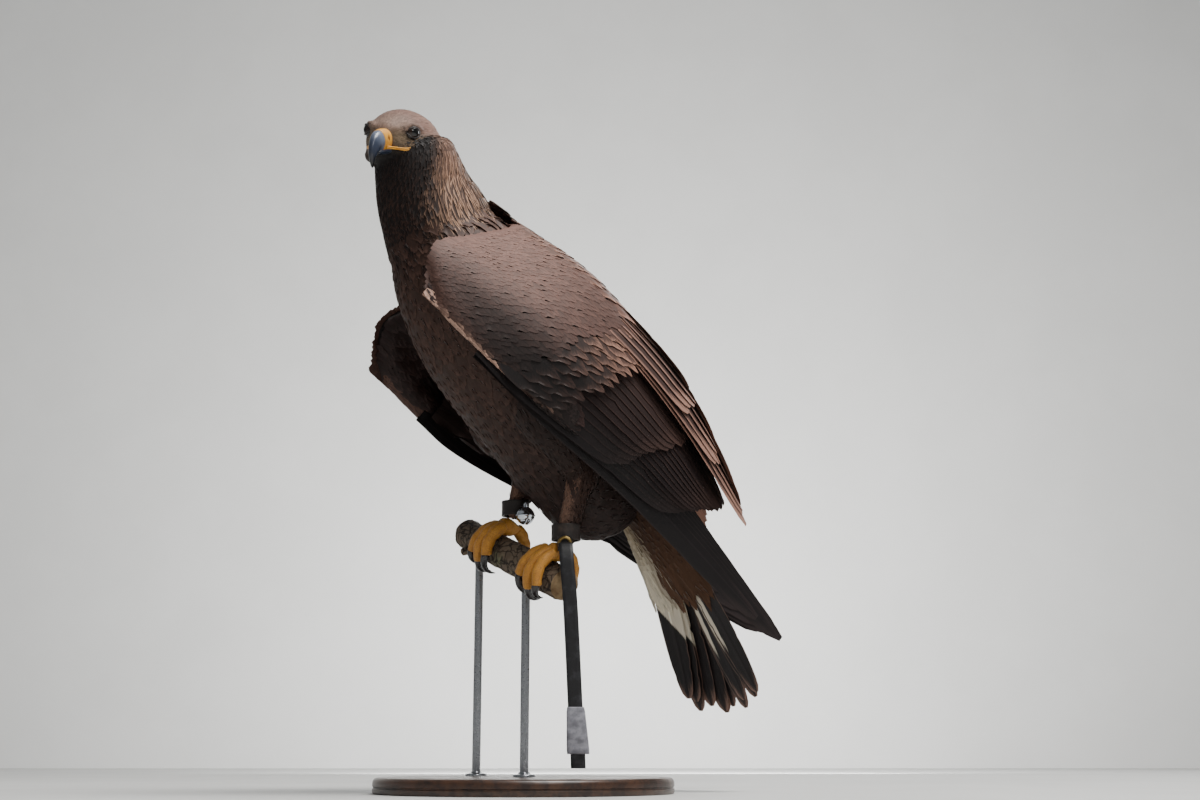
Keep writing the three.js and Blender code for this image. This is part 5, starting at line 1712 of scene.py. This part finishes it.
def mouth(name, side):
    bm = bmesh.new()
    for lift, size in ((0.8, 1.0), (-0.9, 0.85)):
        line = [head_point(side * x, y, z + lift) for x, y, z in MOUTH]
        line = [*line[:2], *fit_to_skin(np.array(line[2:]), 0.35 * np.ones(len(line) - 2))]
        add_tube(bm, line, MOUTH_RADII * size, 12, 30)
    from_bmesh(f"mouth_{name}", bm, CERE, (f"gape_{name}",))


def bill():
    upper_bill()
    cere()
    lower_bill()
    mouth("left", 1)
    mouth("right", -1)


# Feet

# A toe starts and ends so far along the branch, and runs round it between two angles. All are from its top.
TOES = {
    "inner": dict(start=-7, to=-19, first=8, stop=96, radius=7.6, claw=58),
    "middle": dict(start=0, to=1, first=8, stop=118, radius=7.4, claw=42),
    "outer": dict(start=7, to=20, first=8, stop=104, radius=6.6, claw=38),
    "hind": dict(start=-1, to=-3, first=-24, stop=-92, radius=7.8, claw=66),
}
CLAW_RADII = [4.9, 4.7, 4.2, 3.5, 2.5, 1.5, 0.5]


TOE_LIFT = PERCH_RADIUS + 0.3
SCALE_HEIGHT = 0.75


def raise_scales(verts, line, at, count):
    """Broad scales across the upper side of a toe. line is its middle."""
    axis = Vector(PERCH_ALONG)
    root = Vector(world(at))
    for vert in verts:
        near = min(range(len(line)), key=lambda k: (vert.co - line[k]).length_squared)
        out = vert.co - line[near]
        away = line[near] - root
        away -= axis * away.dot(axis)
        top = max(0.0, out.normalized().dot(away.normalized())) if out.length > 1e-6 else 0.0
        wave = (near / (len(line) - 1) * count) % 1.0
        step = 1 - 0.6 * wave if wave > 0.14 else 0.4 + 4.3 * wave
        vert.co += out.normalized() * MM * SCALE_HEIGHT * step * top**0.6


def toe_line(toe, at, side):
    """A toe's middle and radii, from its root to its claw, round the branch."""
    points, radii = [], []
    for t in np.linspace(0, 1, 9):
        angle = mix(toe["first"], toe["stop"], t)
        lift = TOE_LIFT + toe["radius"] + 1.3 + 2.6 * (1 - t)
        points.append(round_perch(at, side * mix(toe["start"], toe["to"], t), angle, lift))
        radii.append(toe["radius"] * mix(1.02, 0.84, t) * (1 + 0.06 * math.cos(2 * math.pi * 3 * t)))
    return points, radii


def claw_line(toe, at, side):
    points = []
    for t in np.linspace(0, 1, 7):
        angle = toe["stop"] + np.sign(toe["stop"]) * mix(-9, toe["claw"], t)
        lift = TOE_LIFT + toe["radius"] + mix(1.5, 0, t) + 4.5 * math.sin(math.pi * t) - 2.2 * t
        points.append(round_perch(at, side * toe["to"] * mix(1, 0.8, t), angle, lift))
    return points


def foot(name, at):
    side = int(np.sign(at[0]))
    bm = bmesh.new()
    heel = [round_perch(at, 0, 16, 32.5), round_perch(at, 0, -10, 31), ankle(at) - np.array([0, 0, 4])]
    add_tube(bm, heel, [10, 11, 10.5], 20, 16)
    for toe in TOES.values():
        points, radii = toe_line(toe, at, side)
        start = len(bm.verts)
        add_tube(bm, points, radii, 20, 72, ends=(0.12, 0.08))
        bm.verts.ensure_lookup_table()
        middle = [Vector(world(p)) for p in catmull(np.array(points), np.linspace(0, 1, 60))]
        raise_scales(bm.verts[start:], middle, at, 13 if toe["radius"] > 7 else 12)
    from_bmesh(f"toes_{name}", bm, FOOT_SKIN, (f"foot_{name}",))
    bm = bmesh.new()
    for toe in TOES.values():
        add_tube(bm, claw_line(toe, at, side), CLAW_RADII, 20, 34, ends=(0.1, 0.02))
    nodes = [f"claw_{toe}_{name}" for toe in TOES]
    from_bmesh(f"claws_{name}", bm, CLAW, nodes)


# What the bird wears

OUTWARD = np.array([0.906, -0.423, 0])
LEVEL = np.array([0.423, 0.906, 0])
CUFF_LIFT = 3.0
CUFF_HEIGHT = 18.0
EYELET_PLACE = ankle(LEFT_FOOT) + np.array([0, 0, -2]) + OUTWARD * (TARSUS_RADIUS + 7.2)


def from_eyelet(across, up, out):
    return EYELET_PLACE + LEVEL * across + np.array([0, 0, 1.0]) * up + OUTWARD * out


STRAP_WIDTH = 16.0
STRAP_THICK = 2.2
STRAP_ROUTE = [
    from_eyelet(0, 0, 2.9),
    from_eyelet(1, -3, 7),
    from_eyelet(2, -12, 12.5),
    from_eyelet(3, -26, 15.5),
    from_eyelet(6, -60, 16.2),
    from_eyelet(9, -110, 16.4),
    from_eyelet(12, -170, 16.4),
    from_eyelet(15, -222, 16.2),
    from_eyelet(16, -246, 16),
]


def cuff(name, at, extra=(), level=LEVEL):
    """A leather cuff round the lower leg, with turned edges and a lap where it closes."""
    bm = bmesh.new()
    place = ankle(at)
    inner = TARSUS_RADIUS + 1.4
    low = [(0, 0.3), (2, 0), (2.3, 1.4), (2, 3)]
    section = low + [(out, CUFF_HEIGHT - up) for out, up in reversed(low)]
    rings = []
    for i in range(48):
        angle = 2 * math.pi * i / 48
        out = np.array([math.cos(angle), math.sin(angle), 0])
        lap = 1.1 * float(smooth(math.cos(angle - 2.4), 0.9, 0.97))
        ring = [place + out * (inner + r + lap) + np.array([0, 22 * CUFF_LIFT / TARSUS_LENGTH, CUFF_LIFT + z])
                for r, z in section]
        rings.append(np.array(ring))
    add_rings(bm, rings, closed=True)
    for points, wide, thick in extra:
        add_band(bm, points, wide, thick, level)
    from_bmesh(f"cuff_{name}", bm, CUFF_LEATHER, (f"anklet_{name}",), crease=50)


BAND_SIDE = [(-1, -0.5), (-0.94, -1), (-0.5, -1), (0, -1), (0.5, -1), (0.94, -1), (1, -0.5)]
BAND_OUTLINE = BAND_SIDE + [(-x, -y) for x, y in BAND_SIDE]


def add_band(bm, points, wide, thick, level=LEVEL, steps=40, width=None):
    """A flat strap along a line of points, with rounded edges."""
    t = np.linspace(0, 1, steps + 1)
    rows = catmull(np.array(points, float), t)
    along = unit(np.gradient(rows, axis=0))
    rings = []
    for i in range(steps + 1):
        normal = unit(np.cross(along[i], level))
        half = wide / 2 * (width(t[i]) if width else 1.0)
        rings.append(np.array([rows[i] + level * x * half + normal * y * thick / 2 for x, y in BAND_OUTLINE]))
    add_rings(bm, rings)


def strap_width(t):
    """The strap is narrow where it leaves the eyelet."""
    return mix(0.42, 1, float(smooth(t, 0.01, 0.1)))


def strap_and_tape():
    bm = bmesh.new()
    add_band(bm, STRAP_ROUTE, STRAP_WIDTH, STRAP_THICK, steps=90, width=strap_width)
    strap = from_bmesh("leg_strap", bm, STRAP_LEATHER, ("strap",), crease=50)
    bm = bmesh.new()
    rings = []
    for i, t in enumerate(np.linspace(0, 1, 40)):
        up = mix(-181, -231, t)
        wide = np.interp(t, [0, 0.1, 0.5, 0.9, 1], [9.9, 11, 12.2, 13.4, 13])
        deep = np.interp(t, [0, 0.15, 0.5, 0.9, 1], [2.3, 3.2, 3.5, 3.1, 2.5])
        middle = from_eyelet(1.6 - up * 0.062, up, 16.3)
        angles = np.arange(28) * 2 * math.pi / 28
        lap = 0.35 * ((t * 3.2 + angles / (2 * math.pi)) % 1.0 < 0.5)
        crease = 0.25 * np.sin(9 * t * math.pi + 2 * np.sin(angles * 2)) * np.sin(np.pi * t)
        x = np.sign(np.cos(angles)) * np.abs(np.cos(angles)) ** 0.6 * wide * 0.92
        y = np.sign(np.sin(angles)) * np.abs(np.sin(angles)) ** 0.8 * (deep - 0.6 + lap + crease)
        rings.append(middle + x[:, None] * LEVEL + y[:, None] * OUTWARD)
    add_rings(bm, rings)
    tape = from_bmesh("leg_strap_tape", bm, TAPE, ("strap_tape",))


def eyelet():
    """The brass ring in the cuff that the strap goes through."""
    bm = bmesh.new()
    rings = []
    for i in range(40):
        angle = 2 * math.pi * i / 40
        turns = np.arange(14) * 2 * math.pi / 14
        radius = 6.2 + 1.9 * np.cos(turns)
        rings.append(np.array([from_eyelet(r * math.cos(angle), r * math.sin(angle), h)
                               for r, h in zip(radius, 1.9 * np.sin(turns))]))
    add_rings(bm, rings, closed=True)
    from_bmesh("cuff_eyelet", bm, BRASS, ("eyelet",))


BELL_RADIUS = 11.0
BELL_PLACE = ankle(RIGHT_FOOT) + np.array([28.5, 2, 0])


def bell():
    """A round bell with a seam, two grooves and a slot below, on its loop."""
    bm = bmesh.new()
    rings = []
    for angle in np.linspace(-88, 88, 41):
        seam = 0.9 * math.exp(-((angle / 5) ** 2)) - 0.5 * math.exp(-(((abs(angle) - 34) / 2) ** 2))
        radius = (BELL_RADIUS + seam) * math.cos(math.radians(angle))
        turns = np.arange(48) * 2 * math.pi / 48
        height = BELL_RADIUS * math.sin(math.radians(angle))
        slot = np.zeros(48)
        if angle < -25:
            slot = 2.2 * np.exp(-((np.sin(turns) * radius / 1.1) ** 2)) * float(smooth(-angle, 25, 40))
        wide = radius - 0.3 * slot
        rings.append(BELL_PLACE + np.stack([wide * np.cos(turns), wide * np.sin(turns), height + slot], 1))
    add_rings(bm, rings)
    turns = np.linspace(0, 2 * math.pi, 20)
    top = BELL_PLACE + np.array([0, 0, BELL_RADIUS + 1.4])
    loop = [top + 3.4 * np.array([math.cos(a), 0, math.sin(a)]) for a in turns]
    add_tube(bm, loop, [1.1, 1.1], 10, 40, ends=(0.001, 0.001))
    from_bmesh("leg_bell", bm, NICKEL, ("bell",))


# Stand


def branch():
    """The cut branch: uneven, with cracks along its bark, two stubs and sawn ends."""
    bm = bmesh.new()
    wave = [0.4, -0.5, 0, 0, 0, 0, 0, 0, -0.2]
    angles = np.arange(72) * 2 * math.pi / 72
    rings = []
    steps = 150
    for i in range(steps + 1):
        t = i / steps
        s = mix(PERCH_FAR, PERCH_NEAR, t)
        middle = PERCH_MIDDLE + PERCH_ALONG * s
        swell = catmull(np.array(wave)[:, None], np.array(t))[0] * 2
        ring = []
        for angle in angles:
            out = PERCH_FRONT * math.sin(angle) + PERCH_UP * math.cos(angle)
            place = Vector((s * 0.02, math.cos(angle) * 1.4, math.sin(angle) * 1.4))
            rough = noise.noise(place * 1.3) * 0.9 + noise.noise(place * 5) * 0.5
            flake = noise.cell(Vector((s * 0.06 + 0.3 * math.sin(angle * 3), angle * 2.2, 1))) * 0.7
            edge = 1 - 0.06 * max(0, 1 - min(t, 1 - t) * 60)
            ring.append(middle + out * (PERCH_RADIUS + swell - 1.2 + rough * 0.8 + flake * 0.6) * edge)
        rings.append(np.array(ring))
    add_rings(bm, rings)
    for along, angle, reach in ((-132, -62, 24), (-104, 118, 12)):
        start = round_perch(PERCH_MIDDLE, along, angle, PERCH_RADIUS - 6)
        end = round_perch(PERCH_MIDDLE, along - 4, angle, PERCH_RADIUS + reach)
        stub = [start, mix(start, end, 0.5) + PERCH_ALONG * 0.8, end]
        add_tube(bm, stub, [7.6, 5.4, 4.2], 20, 20, ends=(0.01, 0.1))
    from_bmesh("stand_branch", bm, BARK, ("stand_perch",))
    bm = bmesh.new()
    for s, way in ((PERCH_NEAR + 0.05, 1), (PERCH_FAR - 0.05, -1)):
        middle = PERCH_MIDDLE + PERCH_ALONG * s
        rings = []
        for r in np.linspace(17.5, 0.5, 14):
            ring = [middle + PERCH_ALONG * way * 0.25 * (1 + 0.3 * math.sin(r * 3))
                    + (PERCH_FRONT * math.sin(a) + PERCH_UP * math.cos(a)) * r for a in angles[::2]]
            rings.append(np.array(ring))
        add_rings(bm, rings)
    from_bmesh("stand_branch_ends", bm, CUT_WOOD, ())


def turned_rings(profile, middle, sides):
    """Rings as a lathe turns them, of radii and heights from middle."""
    turns = np.arange(sides) * 2 * math.pi / sides
    around = np.stack([np.cos(turns), np.sin(turns), np.zeros(sides)], 1)
    return [np.array(middle) + around * radius + np.array([0, 0, height]) for radius, height in profile]


def rods():
    """The two steel rods, each with a collar where it stands on the base."""
    for i, along in enumerate(ROD_PLACES):
        top = PERCH_MIDDLE + PERCH_ALONG * along
        low = BASE_HEIGHT - PERCH_HEIGHT + 0.3
        high = top[2] - PERCH_RADIUS * 0.9
        bm = bmesh.new()
        r = ROD_RADIUS
        collar = [(r + 8, 0), (r + 8, 1.6), (r + 7.4, 2.4), (r + 3, 3.2), (r + 1.6, 3.8), (r + 1.2, 5)]
        profile = [(0.5, 0.1), *collar, (r, 5.3), (r, 30), (r, high - low)]
        add_rings(bm, turned_rings(profile, (top[0], top[1], low), 48))
        from_bmesh(f"stand_post_{i + 1}", bm, STEEL, (f"stand_rod_{i + 1}",), crease=40)


def plinth():
    """The turned base: a groove near its foot, a rounded edge, and a fine groove on its top."""
    bm = bmesh.new()
    r, h = BASE_RADIUS, BASE_HEIGHT
    foot_groove = [(1, 0.3), (r - 2, 0), (r - 0.6, 0.6), (r, 2), (r, 6), (r - 1, 6.8), (r - 1, 7.6), (r, 8.4)]
    turns = np.linspace(math.pi / 2, 0, 8)[:-1]
    edge = [(r - 6 + 6 * math.sin(a), h - 6 + 6 * math.cos(a)) for a in turns]
    top_groove = [(r - 6, h - 0.3), (r - 22, h - 0.2), (r - 23, h - 0.7), (r - 24, h - 0.8),
                  (r - 25, h - 0.25)]
    middle = [(r * 0.6, h - 0.18), (r * 0.3, h - 0.1), (1, h)]
    profile = foot_groove + edge + top_groove + middle
    add_rings(bm, turned_rings(profile, (0, 0, -PERCH_HEIGHT), 128))
    from_bmesh("stand_plinth", bm, WALNUT, ("stand_base",), crease=40)


# Camera

CAMERA_TURN = 65.0
CAMERA_TILT = 12.5
CAMERA_DISTANCE = 1.9
CAMERA_LENS = 47.88


def camera():
    """The photo's view: from the bird's left and a little in front, looking up."""
    turn, tilt = math.radians(CAMERA_TURN), math.radians(CAMERA_TILT)
    right = Vector((math.cos(turn), math.sin(turn), 0))
    back = Vector((math.sin(turn) * math.cos(tilt), -math.cos(turn) * math.cos(tilt), -math.sin(tilt)))
    up = back.cross(right)
    aim = Vector((0, 0, PERCH_HEIGHT * MM + 0.19)) + right * 0.086
    data = bpy.data.cameras.new("camera")
    data.lens = CAMERA_LENS
    data.sensor_width = 36.0
    thing = bpy.data.objects.new("camera", data)
    bpy.context.scene.collection.objects.link(thing)
    spin = Matrix((right, up, back)).transposed().to_4x4()
    thing.matrix_world = Matrix.Translation(aim + back * CAMERA_DISTANCE) @ spin
    bpy.context.scene.camera = thing


# Materials and making

EYE = eye_finish()
LID_SKIN = plain_finish("lid_skin", tone(58, 50, 48), 0.45, second=tone(34, 29, 29), scale=500.0, bump=0.3)
BILL_HORN = bill_finish()
CERE = cere_finish()
FOOT_SKIN = scale_finish("foot_skin", tone(222, 160, 66), tone(186, 122, 46), 620.0)
CLAW = plain_finish("claw_horn", tone(24, 23, 26), 0.28, second=tone(44, 41, 42),
                    scale=200.0, bump=0.1, coat=0.3)
CUFF_LEATHER = cord_leather("anklet_leather", tone(40, 33, 30), tone(74, 60, 52))
STRAP_LEATHER = cord_leather("strap_leather", tone(22, 21, 24), tone(58, 57, 62))
TAPE = plain_finish("tape", tone(150, 150, 158), 0.55, second=tone(122, 122, 130),
                    scale=120.0, bump=0.5, distance=0.0008)
BRASS = plain_finish("eyelet_brass", tone(176, 150, 96), 0.35, second=tone(128, 104, 62),
                     scale=300.0, metal=1.0)
NICKEL = plain_finish("bell_metal", tone(214, 218, 226), 0.14, second=tone(188, 194, 204),
                      scale=200.0, metal=1.0)
BARK = bark_finish()
CUT_WOOD = wood_finish("cut_wood", tone(186, 156, 116), tone(140, 110, 78), 0.8, (1, 1, 1), 60.0, 0.0)
WALNUT = wood_finish("base_wood", tone(74, 50, 36), tone(44, 29, 22), 0.38)
STEEL = plain_finish("rod_steel", tone(176, 178, 182), 0.3, second=tone(156, 158, 162),
                     scale=260.0, metal=1.0)

camera()
strap_and_tape()
head_coat()
neck_coat()
torso_coat()
leg_coat("coat_leg_left", LEFT_FOOT)
leg_coat("coat_leg_right", RIGHT_FOOT)
colour_skin()
# Each wing's leading edge gets a painted highlight: pale on the lit left wing, darker on the right wing,
# which is in shade.
for wing_name, move, turned_round, wing_seed, painted_edge_light in (
    ("left", same, False, 21, tone(186, 150, 132)),
    ("right", to_right, True, 31, tone(80, 58, 50)),
):
    wing(wing_name, move, turned_round, wing_seed, painted_edge_light)
    scapular_coat(wing_name, move, turned_round, wing_seed + 5)
    arm_core(wing_name, move)
mantle_coat()
tail()
for eye_name, eye_side in (("left", 1), ("right", -1)):
    eye(eye_name, eye_side)
    lids(eye_name, eye_side)
bill()
foot("left", LEFT_FOOT)
foot("right", RIGHT_FOOT)
tab = [from_eyelet(0, 8.6, -4.2), from_eyelet(0, 0, -4.2), from_eyelet(0, -8.6, -4.2)]
cuff("left", LEFT_FOOT, [(tab, 16.8, 3.2)])
thong = [BELL_PLACE + np.array([x, 0, BELL_RADIUS + 1.4]) for x in (-14.6, -10, -4.8)]
cuff("right", RIGHT_FOOT, [(thong, 5.2, 1.8)], np.array([0, 1.0, 0]))
eyelet()
bell()
branch()
rods()
plinth()


# Floor and light

PAPER_SIZE = 6.0
WALL_DISTANCE = 3.2


def stage():
    """A pale floor, and a wall that stands square to the camera's view."""
    pale = plain_finish("wall_paper", tone(242, 242, 240), 0.9, second=tone(238, 238, 236), scale=3.0)
    ground = plain_finish("floor_paper", tone(206, 206, 204), 0.9, second=tone(202, 202, 200), scale=3.0)
    bm = bmesh.new()
    bmesh.ops.create_grid(bm, x_segments=2, y_segments=2, size=PAPER_SIZE)
    floor = from_bmesh("floor", bm, None, flat=True)
    floor.data.materials.append(ground)
    bm = bmesh.new()
    bmesh.ops.create_grid(bm, x_segments=2, y_segments=2, size=PAPER_SIZE)
    turn = Matrix.Rotation(math.radians(CAMERA_TURN), 4, "Z")
    stand_up = Matrix.Rotation(math.radians(90), 4, "X")
    away = Matrix.Translation((0, WALL_DISTANCE, 0))
    bmesh.ops.transform(bm, matrix=turn @ away @ stand_up, verts=bm.verts)
    wall = from_bmesh("backdrop", bm, None, flat=True)
    wall.data.materials.append(pale)


def lamp(name, place, aim, size, power, colour=(1, 1, 1)):
    light = bpy.data.lights.new(name, "AREA")
    light.shape = "DISK"
    light.size = size
    light.energy = power
    light.color = colour
    thing = bpy.data.objects.new(name, light)
    bpy.context.scene.collection.objects.link(thing)
    way = Vector(aim) - Vector(place)
    thing.matrix_world = Matrix.Translation(place) @ way.to_track_quat("-Z", "Y").to_matrix().to_4x4()


stage()
lamp("sky", (0.9, 0.5, 2.9), (0, 0, 0.5), 1.7, 120.0, (1.0, 0.98, 0.95))
lamp("behind", (-1.6, 1.8, 1.9), (0, 0, 0.5), 1.4, 30.0, (0.97, 0.99, 1.0))
lamp("front", (2.1, -0.1, 1.5), (0, 0, 0.6), 0.5, 9.0, (1.0, 0.98, 0.96))
lamp("wall", (-1.5, 0.9, 0.1), (-3.2, 1.6, 1.0), 1.2, 60.0)
world_light = bpy.data.worlds.new("room")
world_light.use_nodes = True
world_light.node_tree.nodes["Background"].inputs[0].default_value = (0.9, 0.93, 0.95, 1)
world_light.node_tree.nodes["Background"].inputs[1].default_value = 0.24
bpy.context.scene.world = world_light
